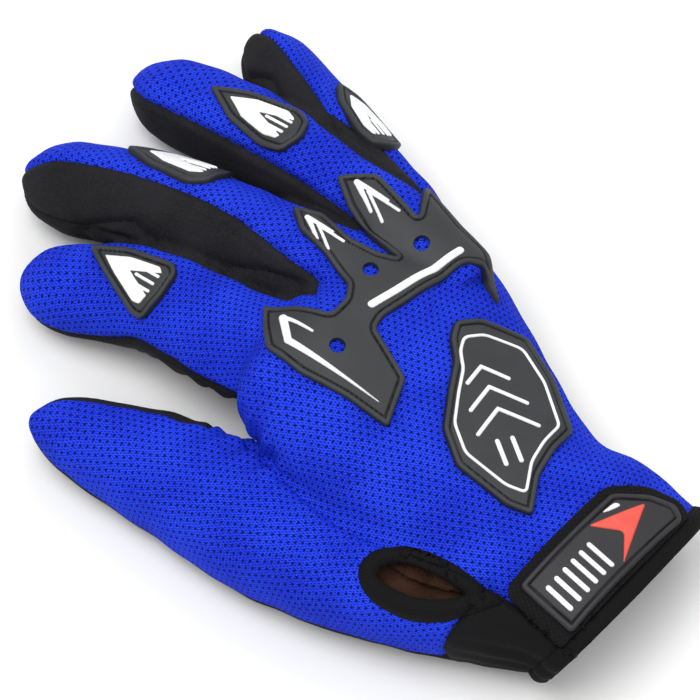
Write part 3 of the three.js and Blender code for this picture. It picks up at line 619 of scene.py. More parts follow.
# A valley between two fingers is black: past the back seam of both, or in a band about their crease. The
# band narrows from its full half width, in millimetres, to nothing where the crotch ends, which is given
# as a share of the hand. Each finger owns the cloth that is nearer to it than to the other, and a margin
VALLEYS = {
    ("index", "middle"): (0.985, 3.2), ("middle", "ring"): (0.985, 4.2), ("ring", "little"): (0.915, 3.4),
}
VALLEY_TAPER = 26.0
VALLEY_DEPTH = 4.0
VALLEY_MARGIN = 1.0
OWN_MARGIN = 0.6
valley = np.full(len(plan_x), -np.inf)
for (near_thumb, far_from_thumb), (along, half_width) in VALLEYS.items():
    near, far = places[near_thumb], places[far_from_thumb]
    nearer = far["outside"] - near["outside"]
    finger_backs[near_thumb] = np.minimum(finger_backs[near_thumb], nearer + OWN_MARGIN)
    finger_backs[far_from_thumb] = np.minimum(finger_backs[far_from_thumb], OWN_MARGIN - nearer)
    between = np.minimum(near["x"], -far["x"])
    past_both = np.minimum(past_back_seam(near, "ulnar"), past_back_seam(far, "radial"))
    ahead_of_crotch = plan_y - along * HAND_LENGTH
    band = half_width * np.clip(ahead_of_crotch / VALLEY_TAPER, 0, 1)**0.7 - np.abs(nearer)
    band = np.maximum(past_both, np.minimum(band, VALLEY_DEPTH - near["outside"]))
    valley = np.maximum(valley, np.minimum.reduce([band, between + VALLEY_MARGIN, ahead_of_crotch]))

# The web of the thumb's crotch is blue on both sides of its seam, down to a height over the floor
CROTCH = (-43.0, 107.0)
CROTCH_REACH = 15.5
CROTCH_FLOOR = 9.0
web = CROTCH_REACH - np.hypot(plan_x - CROTCH[0], plan_y - CROTCH[1])
web = np.minimum(web, skin.points[:, 2] - CROTCH_FLOOR)
back_field = np.maximum.reduce([*finger_backs.values(), web])
thumb_side = outline_distance(plan_x, plan_y, hand_outline(THUMB_SEAM, 12.0))
wrist_black = outline_distance(plan_x, plan_y, hand_outline(WRIST_BLACK, 5.0))
back_field = np.minimum.reduce([back_field, -thumb_side, -valley])
thumb_row = places["thumb"]["row"]
thumb_back = wedge_field(places["thumb"], -thumb_row["radial"], thumb_row["ulnar"], 0.0, FINGER_END)
thumb_field = np.minimum.reduce([np.maximum(thumb_back, web), thumb_side, -wrist_black])
strip_fields = {}
for limb_name, side, start in SIDE_STRIPS:
    place = places[limb_name]
    row = place["row"]
    angles = (row["ulnar"], PALM_SEAM) if side == "ulnar" else (-PALM_SEAM, -row["radial"])
    strip_fields[f"{limb_name}_{side}_strip"] = wedge_field(place, *angles, start, FINGER_END)

# How far each point is from the nearest seam
seam = np.abs(back_field)
outside_back = back_field < 0
seam = np.where(outside_back, np.minimum(seam, np.abs(thumb_field)), seam)
for field in strip_fields.values():
    seam = np.where(outside_back & (thumb_field < 0), np.minimum(seam, np.abs(field)), seam)

# Each seam is a groove, with the cloth a little puffed beside it
SEAM_DEPTH = 1.05
SEAM_WIDTH = 0.9
PUFF_HEIGHT = 0.35
PUFF_PLACE = 2.6
PUFF_WIDTH = 1.6
groove = (PUFF_HEIGHT * soft_hill(seam, PUFF_PLACE, PUFF_WIDTH)
          - SEAM_DEPTH * soft_hill(seam, 0, SEAM_WIDTH))


def cloth_waves(points):
    """Slow unevenness of worn cloth: four sine waves along different directions, multiplied in pairs."""
    x, y, z = points.T
    return (0.22 * np.sin(0.21 * x + 0.13 * y) * np.sin(0.17 * y - 0.11 * z)
            + 0.14 * np.sin(0.43 * y - 0.2 * x + 1.3) * np.sin(0.31 * x + 0.2))


def folds(distance, pitch, height, wander=0.0):
    """Sine waves of a height, a pitch apart along a distance, whose phase may wander."""
    return height * np.sin(distance * 2 * math.pi / pitch + wander)


def thumb_gathers():
    """Folds that fan out from the crotch of the thumb: waves against the thumb's length, strongest by the
    seam, that fade down the thumb's back."""
    place = places["thumb"]
    x = place["x"]
    along = place["at"] * place["limb"]["length"]
    here = soft_hill(along, 100, 26) * soft_hill(x, 17, 12) * soft_step(place["y"], -5, 3)
    return here * folds(along * 0.8 + x * 0.62, 7.4, 0.8, 1.4 * np.sin(0.16 * plan_x)) * (thumb_side > -2)


def strip_ruffle():
    """The gathered edge along the index finger's outer side."""
    place = places["index"]
    along = place["at"] * place["limb"]["length"]
    here = soft_hill(place["y"], -6, 5) * soft_hill(along, 45, 30)
    here = here * (place["x"] < 0) * (place["outside"] < 3)
    return here * folds(along, 8.5, 0.9, 1.1 * np.sin(0.25 * along))


def cuff_gathers():
    """Pleats of the elastic wrist on the thumb side: waves across the hand, fading up the hand."""
    here = soft_hill(plan_y, 8, 14) * soft_step(plan_x, -28, -3)
    return here * folds(plan_x * 0.3 + skin.points[:, 2] * 0.9, 5.5, 0.6)


# The skin before its relief, and the skin with it, which holds the fields that cut the panels. The mouth
# of the cuff slants: it lies further up the hand at the floor than at the top
CUFF_SLANT = 0.3
CUFF_TOP = 34.0
smooth_skin = skin
skin = Surface(
    skin.points, skin.triangles, back=back_field, thumb=thumb_field, x=plan_x, plan_y=plan_y,
    y=plan_y - CUFF_SLANT * (CUFF_TOP - skin.points[:, 2]),
    slit=outline_distance(plan_x, plan_y, hand_outline(SLIT, 9.0)), **strip_fields,
)
skin = skin.moved(groove + cloth_waves(skin.points) + thumb_gathers() + strip_ruffle() + cuff_gathers())
skin.points[:, 2] = np.maximum(skin.points[:, 2], 0.0)


class Value:
    """A socket of numbers: Python's operators on it add Math nodes."""

    def __init__(self, nodes, socket):
        self.nodes = nodes
        self.socket = socket

    def _math(self, operation, *others):
        return Value(self.nodes, self.nodes.add("ShaderNodeMath", dict(operation=operation), *others))

    def __add__(self, other):
        return self._math("ADD", self, other)

    def __radd__(self, other):
        return self._math("ADD", other, self)

    def __sub__(self, other):
        return self._math("SUBTRACT", self, other)

    def __rsub__(self, other):
        return self._math("SUBTRACT", other, self)

    def __mul__(self, other):
        return self._math("MULTIPLY", self, other)

    def __rmul__(self, other):
        return self._math("MULTIPLY", other, self)

    def __truediv__(self, other):
        return self._math("DIVIDE", self, other)

    def __rtruediv__(self, other):
        return self._math("DIVIDE", other, self)

    def __pow__(self, other):
        return self._math("POWER", self, other)

    def floor(self):
        return self._math("FLOOR", self)

    def fraction(self):
        return self._math("FRACT", self)

    def sine(self):
        return self._math("SINE", self)

    def root(self):
        return self._math("SQRT", self)

    def step(self, low, high):
        """Rises smoothly from 0 at low to 1 at high; falls where low is the higher."""
        return Value(self.nodes, self.nodes.add(
            "ShaderNodeMapRange", dict(interpolation_type="SMOOTHSTEP"),
            Value=self, **{"From Min": low, "From Max": high}))


class Nodes:
    """One material's node tree."""

    def __init__(self, name):
        self.material = bpy.data.materials.new(name)
        self.material.use_nodes = True
        self.tree = self.material.node_tree
        self.shader = self.tree.nodes["Principled BSDF"]

    def node(self, kind, settings, *values, **named):
        """A node of any kind: its settings are set first, then its sockets by order and by name."""
        node = self.tree.nodes.new(kind)
        for key, value in settings.items():
            if key == "stops":
                for i, (position, colour) in enumerate(value):
                    ramp = node.color_ramp.elements
                    stop = ramp[i] if i < len(ramp) else ramp.new(position)
                    stop.position = position
                    stop.color = colour
            else:
                setattr(node, key, value)
        for key, value in [*enumerate(values), *named.items()]:
            self.feed(node.inputs[key], value)
        return node

    def add(self, kind, settings, *values, output=0, **named):
        return self.node(kind, settings, *values, **named).outputs[output]

    def feed(self, socket, value):
        source = value.socket if isinstance(value, Value) else value
        if isinstance(source, bpy.types.NodeSocket):
            self.tree.links.new(source, socket)
        else:
            socket.default_value = source

    def value(self, *args, **named):
        return Value(self, self.add(*args, **named))

    def mix(self, share, first, second):
        """From the first colour to the second as share goes from 0 to 1."""
        node = self.node("ShaderNodeMix", dict(data_type="RGBA"))
        for socket, source in {0: share, 6: first, 7: second}.items():
            self.feed(node.inputs[socket], source)
        return node.outputs[2]

    def noise(self, vector, scale, detail=3.0, roughness=0.5):
        return self.value("ShaderNodeTexNoise", {}, Vector=vector, Scale=scale, Detail=detail,
                          Roughness=roughness)

    def coordinates(self, kind):
        return self.add("ShaderNodeTexCoord", {}, output=kind)

    def axes(self, vector):
        node = self.node("ShaderNodeSeparateXYZ", {}, vector)
        return [Value(self, socket) for socket in node.outputs]

    def finish(self, colour, roughness, bump=None, height=0.0003, **constants):
        """Feeds the shader; bump is a height from 0 to 1 that stands for some metres."""
        self.feed(self.shader.inputs["Base Color"], colour)
        self.feed(self.shader.inputs["Roughness"], roughness)
        if bump is not None:
            relief = self.add("ShaderNodeBump", {}, Strength=1.0, Distance=height, Height=bump)
            self.feed(self.shader.inputs["Normal"], relief)
        for name, value in constants.items():
            self.shader.inputs[name.replace("_", " ")].default_value = value
        return self.material


def linear(red, green, blue):
    """An sRGB colour given from 0 to 255, as the shader's linear one."""
    share = np.array([red, green, blue]) / 255
    value = np.where(share <= 0.04045, share / 12.92, ((share + 0.055) / 1.055)**2.4)
    return (*value.tolist(), 1.0)


# The air mesh: staggered holes, and between them finer staggered slits between the knitted wales; painted
# shade darkens both
HOLE_PITCH = 2.5
ROW_PITCH = 1.7
WALE_PITCH = 0.83
UV_UNIT = 0.01


def staggered(u, v, pitch, row_pitch, length, width):
    """The distance from the nearest middle of a staggered grid, as a share of an ellipse's half sides."""
    odd = ((v / row_pitch).floor() / 2).fraction() * 2
    across = ((u / pitch + odd * 0.5).fraction() - 0.5) * (pitch / length)
    along = ((v / row_pitch).fraction() - 0.5) * (row_pitch / width)
    return (across**2 + along**2).root()


def air_mesh():
    nodes = Nodes("air_mesh")
    u, v, _ = nodes.axes(nodes.coordinates("UV"))
    place = nodes.coordinates("Object")
    worn = nodes.noise(place, 45.0)
    pulled = nodes.noise(place, 160.0, 2.0)
    fuzz = nodes.noise(place, 2600.0, 2.0)
    u = u * (UV_UNIT / MM) + pulled * 1.1
    v = v * (UV_UNIT / MM) + worn * 1.4
    hole = staggered(u, v, HOLE_PITCH, ROW_PITCH, 0.5, 0.4).step(1.2, 0.5)
    slit = staggered(u * 0.94 + v * 0.34, v * 0.94 - u * 0.34, WALE_PITCH, 1.0, 0.17, 0.42).step(1.3, 0.4)
    # How deep a point lies in a hole or a slit: it lowers the bump, and as painted shade it darkens the
    # holes and slits towards deep blue
    recess_and_shade = hole * 0.95 + slit * (1 - hole) * 0.7
    base = nodes.mix(worn.step(0.3, 0.7), linear(18, 46, 216), linear(32, 66, 246))
    base = nodes.mix(fuzz.step(0.35, 0.8) * 0.4, base, linear(76, 104, 250))
    colour = nodes.mix(recess_and_shade, base, linear(5, 9, 84))
    height = 0.8 - recess_and_shade * 0.65 + fuzz * 0.2
    return nodes.finish(colour, 0.8, height, 0.0007, Specular_IOR_Level=0.08)


def black_cloth():
    nodes = Nodes("black_cloth")
    place = nodes.coordinates("Object")
    worn = nodes.noise(place, 60.0)
    grain = nodes.noise(place, 1500.0, 3.0, 0.6)
    x, y, z = nodes.axes(place)
    ribs = ((x + y * 0.7 + z * 0.4) * (2 * math.pi / 0.0009)).sine() * 0.5 + 0.5
    colour = nodes.mix(worn.step(0.3, 0.7), linear(20, 20, 22), linear(30, 30, 34))
    colour = nodes.mix(grain.step(0.35, 0.75) * 0.5, colour, linear(44, 44, 48))
    # Darker towards the wrist: from y = -0.05 m to y = -0.08 m the cloth turns near black
    colour = nodes.mix(y.step(-0.05, -0.08) * 0.75, colour, linear(6, 6, 7))
    return nodes.finish(colour, 0.85, grain * 0.8 + ribs * 0.2, 0.00018, Specular_IOR_Level=0.2)


def woven_tape(name, dark, light, pitch):
    """Tape whose ribs are sine waves along the three axes of space, so they show on every side."""
    nodes = Nodes(name)
    place = nodes.coordinates("Object")
    x, y, z = nodes.axes(place)
    rib = ((x * 0.7 + y * 0.7 + z * 0.5) * (2 * math.pi / pitch)).sine() * 0.5 + 0.5
    cross = ((x * 0.7 - y * 0.7 + z * 0.3) * (2 * math.pi / pitch)).sine() * 0.5 + 0.5
    fuzz = nodes.noise(place, 2200.0, 2.0)
    weave = rib * cross
    colour = nodes.mix(weave * 0.7 + fuzz * 0.3, dark, light)
    return nodes.finish(colour, 0.85, weave * 0.6 + fuzz * 0.4, 0.0001, Specular_IOR_Level=0.2)


def moulded_rubber(name, low, high, roughness=0.5, grooved=False):
    nodes = Nodes(name)
    place = nodes.coordinates("Object")
    worn = nodes.noise(place, 90.0, 4.0)
    grain = nodes.noise(place, 3000.0, 2.0)
    colour = nodes.mix(worn.step(0.3, 0.7), low, high)
    if grooved:
        edge = nodes.value("ShaderNodeAttribute", dict(attribute_name="edge"), output="Fac")
        groove = edge.step(1.45, 1.65) * edge.step(2.2, 1.95)
        colour = nodes.mix(groove + edge.step(0.45, 0.1) * 0.6, colour, linear(14, 14, 16))
    rough = worn * 0.12 + (roughness - 0.06)
    return nodes.finish(colour, rough, grain, 0.00004, Specular_IOR_Level=0.45)


def brushed_lining():
    nodes = Nodes("brushed_lining")
    place = nodes.coordinates("Object")
    worn = nodes.noise(place, 120.0, 4.0)
    pile = nodes.noise(place, 1400.0, 4.0, 0.7)
    colour = nodes.mix(worn.step(0.3, 0.7), linear(46, 30, 23), linear(70, 46, 35))
    colour = nodes.mix(pile.step(0.3, 0.8) * 0.4, colour, linear(88, 62, 48))
    return nodes.finish(colour, 0.95, pile, 0.0005, Specular_IOR_Level=0.1)


AIR_MESH = air_mesh()
BLACK_CLOTH = black_cloth()
BINDING = woven_tape("binding_tape", linear(7, 7, 8), linear(18, 18, 20), 0.0011)
WEBBING = woven_tape("strap_webbing", linear(9, 9, 10), linear(25, 25, 28), 0.0013)
RUBBER = moulded_rubber("moulded_rubber", linear(45, 47, 50), linear(52, 54, 57), 0.6, True)
TAB_RUBBER = moulded_rubber("tab_rubber", linear(36, 36, 39), linear(44, 44, 48), 0.6, True)
WHITE = moulded_rubber("white_mark", linear(240, 241, 243), linear(250, 250, 251), 0.45)
RED = moulded_rubber("red_mark", linear(228, 80, 66), linear(238, 92, 78), 0.45)
LINING = brushed_lining()


def piece(name, surface, material, stands_for, wall=0.0):
    """A finished piece: the mesh, its wall inwards, the CAD node it stands for and its material's slot."""
    obj = linked_object(name, to_mesh(name, surface))
    obj.data.materials.append(material)
    if "edge" in surface.values:
        attribute = obj.data.attributes.new("edge", "FLOAT", "POINT")
        attribute.data.foreach_set("value", surface["edge"])
    if wall:
        modifier = obj.modifiers.new("wall", "SOLIDIFY")
        modifier.thickness = wall * MM
        modifier.offset = -1.0
    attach(obj, "root")
    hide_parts(stands_for)
    return obj


def unwrap(obj, guide):
    """Lays the cloth out flat, turned and scaled so that one UV unit is a centimetre of cloth: the turn is
    that of the best fit between the layout and the guide directions, and the scale keeps the area."""
    bpy.context.view_layer.objects.active = obj
    obj.select_set(True)
    obj.data.uv_layers.new(name="cloth")
    bpy.ops.object.mode_set(mode="EDIT")
    bpy.ops.mesh.select_all(action="SELECT")
    bpy.ops.uv.unwrap(method="ANGLE_BASED", margin=0.0)
    bpy.ops.object.mode_set(mode="OBJECT")
    obj.select_set(False)
    mesh = obj.data
    flat = np.empty(len(mesh.loops) * 2)
    mesh.uv_layers[0].data.foreach_get("uv", flat)
    corner = np.empty(len(mesh.loops), np.int32)
    mesh.loops.foreach_get("vertex_index", corner)
    flat = flat.reshape(-1, 2)
    layout = flat[:, 0] + 1j * flat[:, 1]
    target = guide[0][corner] + 1j * guide[1][corner]
    layout = layout - layout.mean()
    target = target - target.mean()
    turned = [np.sum(target * np.conj(side)) for side in (layout, np.conj(layout))]
    mirrored = abs(turned[1]) > abs(turned[0])
    layout = np.conj(layout) if mirrored else layout
    spin = turned[int(mirrored)]
    layout = layout * spin / abs(spin)
    a, b, c = layout.reshape(-1, 3).T
    flat_area = np.sum(np.abs(((b - a) * np.conj(c - a)).imag)) / 2
    areas = np.empty(len(mesh.polygons))
    mesh.polygons.foreach_get("area", areas)
    layout = layout * math.sqrt(areas.sum() / flat_area) / UV_UNIT
    mesh.uv_layers[0].data.foreach_set("uv", np.stack([layout.real, layout.imag], axis=1).ravel())


SLIT_EDGE = 1.2
cloth = skin.kept(skin["y"])
cloth = cloth.kept(SLIT_EDGE - cloth["slit"])
back_panel = cloth.kept(cloth["back"]).largest()
rest = cloth.kept(-cloth["back"])
thumb_panel = rest.kept(rest["thumb"]).largest()
rest = rest.kept(-rest["thumb"])
for name, panel in {"back": back_panel, "thumb": thumb_panel}.items():
    obj = piece(f"{name}_cloth", panel, AIR_MESH, f"{name}_panel", CLOTH_WALL)
    unwrap(obj, (panel["x"], panel["plan_y"]))
for name in strip_fields:
    strip = rest.kept(rest[name])
    rest = rest.kept(-rest[name])
    piece(f"{name}_cloth", strip, BLACK_CLOTH, name, CLOTH_WALL)
piece("palm_cloth", rest, BLACK_CLOTH, "palm_panel", CLOTH_WALL)


def taped(band, across, bulge):
    """A band raised over the cloth by a parabola across its width, which goes from 0 to 1."""
    return band.moved(TAPE_SEAT + bulge * (1 - (across * 2 - 1)**2))


# The cuff's binding: a band round the mouth that bulges over the cloth's edge
TAPE_SEAT = 0.08
CUFF_FROM = -4.2
CUFF_TO = 1.6
CUFF_BULGE = 1.3
CUFF_WALL = 2.0
band = skin.kept(skin["y"] - CUFF_FROM)
band = band.kept(CUFF_TO - band["y"])
band = taped(band, (band["y"] - CUFF_FROM) / (CUFF_TO - CUFF_FROM), CUFF_BULGE)
band.points[:, 2] = np.maximum(band.points[:, 2], 0.0)
piece("cuff_tape", band, BINDING, "cuff_binding", CUFF_WALL)

# The slit's binding: a rolled edge round the teardrop, on the skin's upper side
UPWARD = 0.02
SLIT_BAND = 5.4
SLIT_BULGE = 1.9
SLIT_WALL = 2.6
roll = skin.kept(skin.normals()[:, 2] - UPWARD)
roll = roll.kept(roll["slit"])
roll = roll.kept(SLIT_BAND - roll["slit"])
piece("slit_tape", taped(roll, roll["slit"] / SLIT_BAND, SLIT_BULGE), BINDING, "slit_binding", SLIT_WALL)

# The lining shows through the slit, where it sags, and in the mouth
LINING_REACH = 64.0
LINING_DEPTH = 2.4
LINING_WALL = 0.6
SLIT_SAG = 5.0
lining = skin.kept(skin["y"] - CUFF_FROM / 2)
lining = lining.kept(LINING_REACH - lining["y"])
lining = lining.moved(-(LINING_DEPTH + SLIT_SAG * soft_step(lining["slit"], 4.0, 1.2)))
piece("brown_lining", lining, LINING, "cuff_lining", LINING_WALL)


def axes_matrix(*columns):
    """A Blender matrix of three axes and an origin."""
    matrix = Matrix.Identity(4)
    for column, vector in enumerate(columns):
        for row in range(3):
            matrix[row][column] = vector[row]
    return matrix


DROP_HEIGHT = 60.0


class Place:
    """A flat frame over the cloth, in which mouldings are drawn and then laid on the skin."""

    def __init__(self, origin, across, ahead, back):
        self.origin = origin
        self.across = across
        self.ahead = ahead
        self.back = back

    def laid(self, surface, target):
        """The flat surface projected along the frame's own back axis onto the target."""
        lifted = Surface(surface.points + DROP_HEIGHT * UP - WRIST_MIDDLE, surface.triangles)
        obj = linked_object("scratch_plate", to_mesh("scratch_plate", lifted))
        origin = (self.origin + WRIST_MIDDLE) * MM
        obj.matrix_world = axes_matrix(self.across, self.ahead, self.back, origin)
        modifier = obj.modifiers.new("drape", "SHRINKWRAP")
        modifier.wrap_method = "PROJECT"
        modifier.target = target
        modifier.use_project_z = True
        modifier.use_negative_direction = True
        modifier.use_positive_direction = False
        bpy.context.view_layer.update()
        points, _ = read_mesh(obj)
        discard(obj)
        points = self.origin + points / MM @ np.array([self.across, self.ahead, self.back])
        return Surface(points, surface.triangles, **surface.values)


HAND_PLACE = Place(np.zeros(3), HAND_ACROSS, HAND_AHEAD, UP)
PLATE_ROUNDS = 20
PLATE_LIFT = 0.3
stiff_skin = smooth_skin.smoothed(PLATE_ROUNDS).moved(PLATE_LIFT)
cloth_target = linked_object("scratch_skin", to_mesh("scratch_skin", stiff_skin))


def flat_grid(outline, step, margin=2.0):
    """An even grid of points over an outline."""
    low = outline.min(axis=0) - margin
    high = outline.max(axis=0) + margin
    columns, rows = ((high - low) / step).astype(int) + 1
    x, y = np.meshgrid(np.linspace(low[0], high[0], columns), np.linspace(low[1], high[1], rows))
    points = np.stack([x.ravel(), y.ravel(), np.zeros(x.size)], axis=1)
    return Surface(points, grid_triangles(rows, columns))


# A moulding's heights over the cloth against the distance in from its edge, and its foot, in millimetres
PLATE = dict(foot=-0.6, profile=[
    (0, 1.1), (0.2, 1.6), (0.5, 1.85), (1.2, 1.9), (1.5, 1.7), (1.65, 1.1), (2.0, 1.1), (2.15, 1.5),
    (2.5, 1.55),
])
MARK = dict(foot=1.1, profile=[(0, 1.65), (0.2, 1.9), (0.5, 2.0)])
STROKE_STEP = 0.7 * PLATE_STEP
WEDGE_STEP = 0.8 * PLATE_STEP


def moulding(field_of, outline, place, form, seat=0.0, step=PLATE_STEP):
    """A moulded form: the grid is cut at its outline, laid on the cloth and raised along the normal by the
    profile; a skirt joins its edge to its foot. The seat raises all of it."""
    flat = flat_grid(outline, step)
    inside, edge = field_of(flat.points[:, 0], flat.points[:, 1])
    flat = Surface(flat.points, flat.triangles, edge=edge).kept(inside)
    laid = place.laid(flat, cloth_target)
    normals = laid.smoothed(6).normals()
    height = seat + np.interp(laid["edge"], *np.array(form["profile"]).T)
    top = laid.points + normals * height[:, None]
    base = laid.points + normals * (seat + form["foot"])
    border = laid.border()
    rim = np.unique(border)
    index = np.full(len(laid.points), -1)
    index[rim] = np.arange(len(rim)) + len(top)
    a, b = border.T
    skirt = np.vstack([np.stack([b, a, index[a]], axis=1), np.stack([b, index[a], index[b]], axis=1)])
    edge = np.concatenate([laid["edge"], np.zeros(len(rim))])
    return Surface(np.vstack([top, base[rim]]), np.vstack([laid.triangles, skirt]), edge=edge)


HOLE_RADIUS = 2.3


def plain_plate(outline, place=HAND_PLACE, form=PLATE, seat=0.0, holes=()):
    """A moulding within an outline, with round holes at shares of the hand's length and width."""

    def field(x, y):
        edge = outline_distance(x, y, outline)
        inside = edge
        for along, across in holes:
            away = np.hypot(x - across * HAND_WIDTH, y - along * HAND_LENGTH)
            inside = np.minimum(inside, away - HOLE_RADIUS)
        return inside, edge

    return moulding(field, outline, place, form, seat)


def stroke_plate(strokes, seat=0.0):
    """A raised mark on the hand, made of strokes."""

    def field(x, y):
        edge = stroke_distance(x, y, strokes)
        return edge, edge

    reach = np.vstack([points[:, :2] for points in strokes])
    return moulding(field, reach, HAND_PLACE, MARK, seat, STROKE_STEP)


def stroke(plan, *widths):
    """A line of points in millimetres, with a width for each or one for all."""
    return np.column_stack([plan, np.broadcast_to(widths, (len(plan),))])


def hand_stroke(rows, *widths):
    """A stroke given in shares of the hand's length and width."""
    return stroke(hand_outline(rows, 0), *widths)


SHARP_ANGLE = math.radians(50.0)


def moulded(name, surface, material, stands_for):
    """A moulded piece, with the corners between faces that meet at more than an angle kept sharp."""
    obj = piece(name, surface, material, stands_for)
    obj.data.set_sharp_from_angle(angle=SHARP_ANGLE)


# The knuckle guard with its holes and marks, and the patch on the back of the hand
BAR_WIDTH = 2.3
THICK_MARK = 1.7
THIN_MARK = 0.95
knuckle_plate = plain_plate(hand_outline(KNUCKLE_GUARD), holes=KNUCKLE_HOLES)
moulded("knuckle_plate", knuckle_plate, RUBBER, "knuckle_guard")
moulded("back_patch", plain_plate(hand_outline(HAND_PATCH)), RUBBER, "hand_patch")


def nested_chevrons(tip, first, second, shift):
    """Two arrowheads, the second thinner and moved on from the first."""
    arms = np.array([[tip, first], [tip, second]])
    return [*(hand_stroke(arm, THICK_MARK, THIN_MARK) for arm in arms),
            *(hand_stroke(arm, THIN_MARK) for arm in arms + shift)]


MARKS = {
    "knuckle_bar": [hand_stroke(KNUCKLE_BAR, BAR_WIDTH)],
    "index_bolt": [hand_stroke(rows, *widths) for rows, widths in INDEX_STROKES],
    "middle_chevron": nested_chevrons(*MIDDLE_ARROWS),
    "ring_chevron": nested_chevrons(*RING_ARROWS),
}
for name, strokes in MARKS.items():
    moulded(f"{name}_mark", stroke_plate(strokes), WHITE, name)


def shrunk(rows, share):
    """An outline scaled about the mean of its points."""
    middle = np.mean(rows, axis=0)
    return middle + (rows - middle) * share


# The patch's raised line, three chevrons across it and two short bars under them. Chevrons and bars are in
# millimetres across and ahead, about a place on the hand and along a heading from the hand's own
PATCH_LINE_SHARE = 0.8
PATCH_LINE_WIDTH = 0.9
PATCH_HEADING = 27.0
PATCH_MIDDLE = np.array([8.4, 61.5])
CHEVRON_ARMS = [(-8.4, -6.3), (0.0, 0.0), (9.6, -7.2)]
CHEVRON_WIDTH = 1.2
CHEVRONS = [(12.6, 0.68), (6.0, 0.93), (-1.0, 1.0)]
SHORT_BARS = (-3.8, 0.8)
SHORT_BAR_ENDS = (-10.5, -17.5)
SHORT_BAR_WIDTH = 1.4
patch_ahead, patch_across = (axis[:2] for axis in heading_vectors(PATCH_HEADING))


def patch_stroke(rows, width):
    plan = [PATCH_MIDDLE + across * patch_across + ahead * patch_ahead for across, ahead in rows]
    return stroke(plan, width)


patch_line = hand_outline(shrunk(HAND_PATCH, PATCH_LINE_SHARE))
patch_strokes = [stroke(np.vstack([patch_line, patch_line[:1]]), PATCH_LINE_WIDTH)]
for tip, share in CHEVRONS:
    arms = [(across * share, tip + ahead * share) for across, ahead in CHEVRON_ARMS]
    patch_strokes.append(patch_stroke(arms, CHEVRON_WIDTH))
for across in SHORT_BARS:
    patch_strokes.append(patch_stroke([(across, ahead) for ahead in SHORT_BAR_ENDS], SHORT_BAR_WIDTH))
moulded("shield_line", stroke_plate(patch_strokes), WHITE, "patch_outline")

# Each finger's guard, laid along the finger's own back. Its mark is a wedge that points to the fingertip,
# with a notch from behind and three short bars in the notch. Reaches and lengths of the notch and its bars
# are shares of the mark's length, and their places across are shares of its width
GUARD_CORNER = 2.2
WEDGE_SCALE = 0.64
WEDGE_CORNER = 0.8
NOTCH_START = -2.0
NOTCH_REACH = 0.52
NOTCH_HALF = 0.4
NOTCH_BARS = [-0.2, 0.0, 0.2]
NOTCH_BAR_START = 1.2
NOTCH_BAR_LENGTH = 0.34
NOTCH_BAR_TAPER = 0.4


def wedge_mark(outline, place):
    low, high = outline.min(axis=0), outline.max(axis=0)
    size = high - low
    tip = outline[np.argmax(outline[:, 1])]
    middle = np.array([(low[0] + high[0]) / 2, low[1]])
    slope = (tip - middle) / np.linalg.norm(tip - middle)
    side = np.array([slope[1], -slope[0]]) * size[0]
    base = middle + NOTCH_START * slope
    notch = np.array([
        base - NOTCH_HALF * side, middle + NOTCH_REACH * size[1] * slope, base + NOTCH_HALF * side,
    ])
    bars = []
    for share in NOTCH_BARS:
        foot = middle + share * side + NOTCH_BAR_START * slope
        length = (NOTCH_BAR_LENGTH - NOTCH_BAR_TAPER * abs(share)) * size[1]
        bars.append(stroke([foot, foot + length * slope], THIN_MARK))

    def field(x, y):
        within = outline_distance(x, y, outline)
        solid = np.minimum(within, -outline_distance(x, y, notch))
        edge = np.maximum(solid, np.minimum(stroke_distance(x, y, bars), within))
        return edge, edge

    return moulding(field, outline, place, MARK, step=WEDGE_STEP)


def finger_outline(limb, rows, middle, radius):
    """Shares of a finger's length and width as millimetres about a place on it, with rounded corners."""
    plan = [(across * limb["width"], (along - middle) * limb["length"]) for along, across in rows]
    return rounded(plan, radius)


for name, rows in FINGER_GUARDS.items():
    limb = LIMBS[name]
    middle = np.mean([along for along, _ in rows])
    here = stations(limb, middle)
    place = Place(*(here[key][0] for key in ("centre", "across", "ahead", "back")))
    outline = finger_outline(limb, rows, middle, GUARD_CORNER)
    moulded(f"{name}_plate", plain_plate(outline, place), RUBBER, f"{name}_guard")
    inner = finger_outline(limb, shrunk(rows, WEDGE_SCALE), middle, WEDGE_CORNER)
    moulded(f"{name}_arrow", wedge_mark(inner, place), WHITE, f"{name}_wedge")

# The strap over the wrist, on the skin's upper side
STRAP_MARGIN = 0.4
STRAP_SEAT = 2.0
STRAP_WALL = 1.6
strap_edge = outline_distance(skin["x"], skin["plan_y"], hand_outline(STRAP, 3.0))
strap = Surface(skin.points, skin.triangles, up=skin.normals()[:, 2])
strap = strap.kept(np.minimum(strap_edge, skin["y"] - STRAP_MARGIN))
strap = strap.kept(strap["up"])
piece("strap_band", strap.moved(STRAP_SEAT), WEBBING, "wrist_strap", STRAP_WALL)

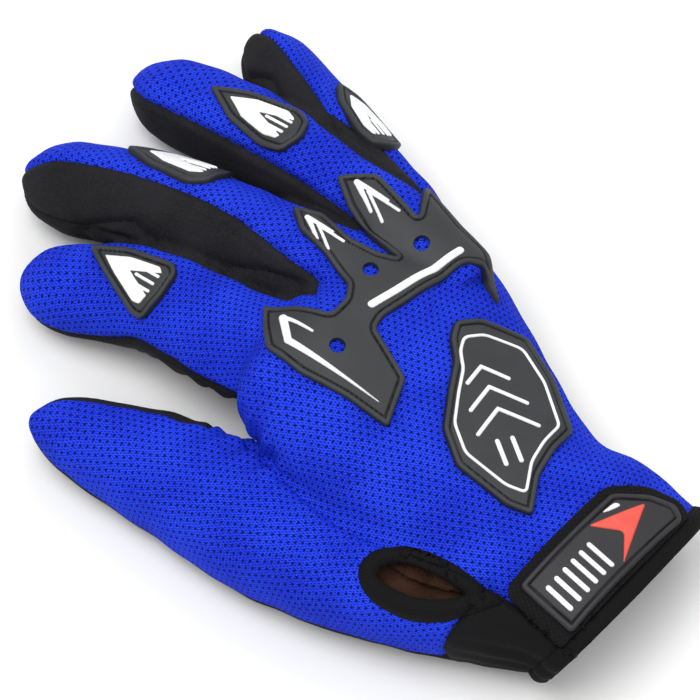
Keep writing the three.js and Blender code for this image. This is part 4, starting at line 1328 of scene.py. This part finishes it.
# The strap's tab and its marks
TAB_SEAT = 1.7
TAB_BARS = 6
TAB_BAR_WIDTH = 1.4
TAB_BAR_ENDS = (0.05, 0.115)
FIRST_TAB_BAR = -0.245
TAB_BAR_PITCH = 0.038
moulded("tab_plate", plain_plate(hand_outline(TAB), seat=TAB_SEAT), TAB_RUBBER, "strap_tab")
for name, rows, material in (("stripe", STRIPE, RED), ("accent", ACCENT, WHITE)):
    raised = plain_plate(hand_outline(rows), form=MARK, seat=TAB_SEAT)
    moulded(f"tab_{name}", raised, material, f"strap_{name}")
for number in range(TAB_BARS):
    across = FIRST_TAB_BAR + number * TAB_BAR_PITCH
    bar = hand_stroke([(along, across) for along in TAB_BAR_ENDS], TAB_BAR_WIDTH)
    moulded(f"tab_bar_{number + 1}", stroke_plate([bar], TAB_SEAT), WHITE, f"strap_bar_{number + 1}")
discard(cloth_target)

# The floor and the light
FLOOR_HALF = 3.0
floor_corners = [(x * FLOOR_HALF, y * FLOOR_HALF, 0) for x, y in ((-1, -1), (1, -1), (1, 1), (-1, 1))]
floor_mesh = bpy.data.meshes.new("floor")
floor_mesh.from_pydata(floor_corners, [], [(0, 1, 2, 3)])
floor_mesh.materials.append(Nodes("pale_floor").finish(linear(250, 250, 250), 0.9))
floor = linked_object("floor", floor_mesh)

WORLD_STRENGTH = 0.45
world = bpy.data.worlds.new("studio")
bpy.context.scene.world = world
world.use_nodes = True
world.node_tree.nodes["Background"].inputs[0].default_value = (1.0, 1.0, 1.0, 1.0)
world.node_tree.nodes["Background"].inputs[1].default_value = WORLD_STRENGTH
bpy.context.scene.view_settings.view_transform = "Standard"


def aimed(name, data, azimuth, elevation, distance):
    """An object at an angle and a distance from the target, with its own -Z towards the target."""
    a, e = math.radians(azimuth), math.radians(elevation)
    back = Vector((math.sin(a) * math.cos(e), -math.cos(a) * math.cos(e), math.sin(e)))
    right = Vector((math.cos(a), math.sin(a), 0.0))
    obj = linked_object(name, data)
    obj.matrix_world = axes_matrix(right, back.cross(right), back, CAMERA_TARGET + back * distance)
    return obj


# azimuth, elevation, distance and width in metres, power in watts
LIGHTS = {
    "key": (-140.0, 74.0, 2.6, 1.6, 40.0),
    "fill": (-30.0, 60.0, 2.6, 2.0, 14.0),
    "rim": (90.0, 50.0, 2.6, 2.0, 14.0),
}
for name, (azimuth, elevation, distance, width, power) in LIGHTS.items():
    light = bpy.data.lights.new(name, "AREA")
    light.energy = power
    light.size = width
    aimed(name, light, azimuth, elevation, distance)

camera_data = bpy.data.cameras.new("camera")
camera_data.sensor_width = SENSOR_WIDTH
camera_data.lens = SENSOR_WIDTH * CAMERA_DISTANCE / (VIEW_WIDTH * MM)
camera_data.clip_start = 0.05
bpy.context.scene.camera = aimed("camera", camera_data, CAMERA_AZIMUTH, CAMERA_ELEVATION, CAMERA_DISTANCE)
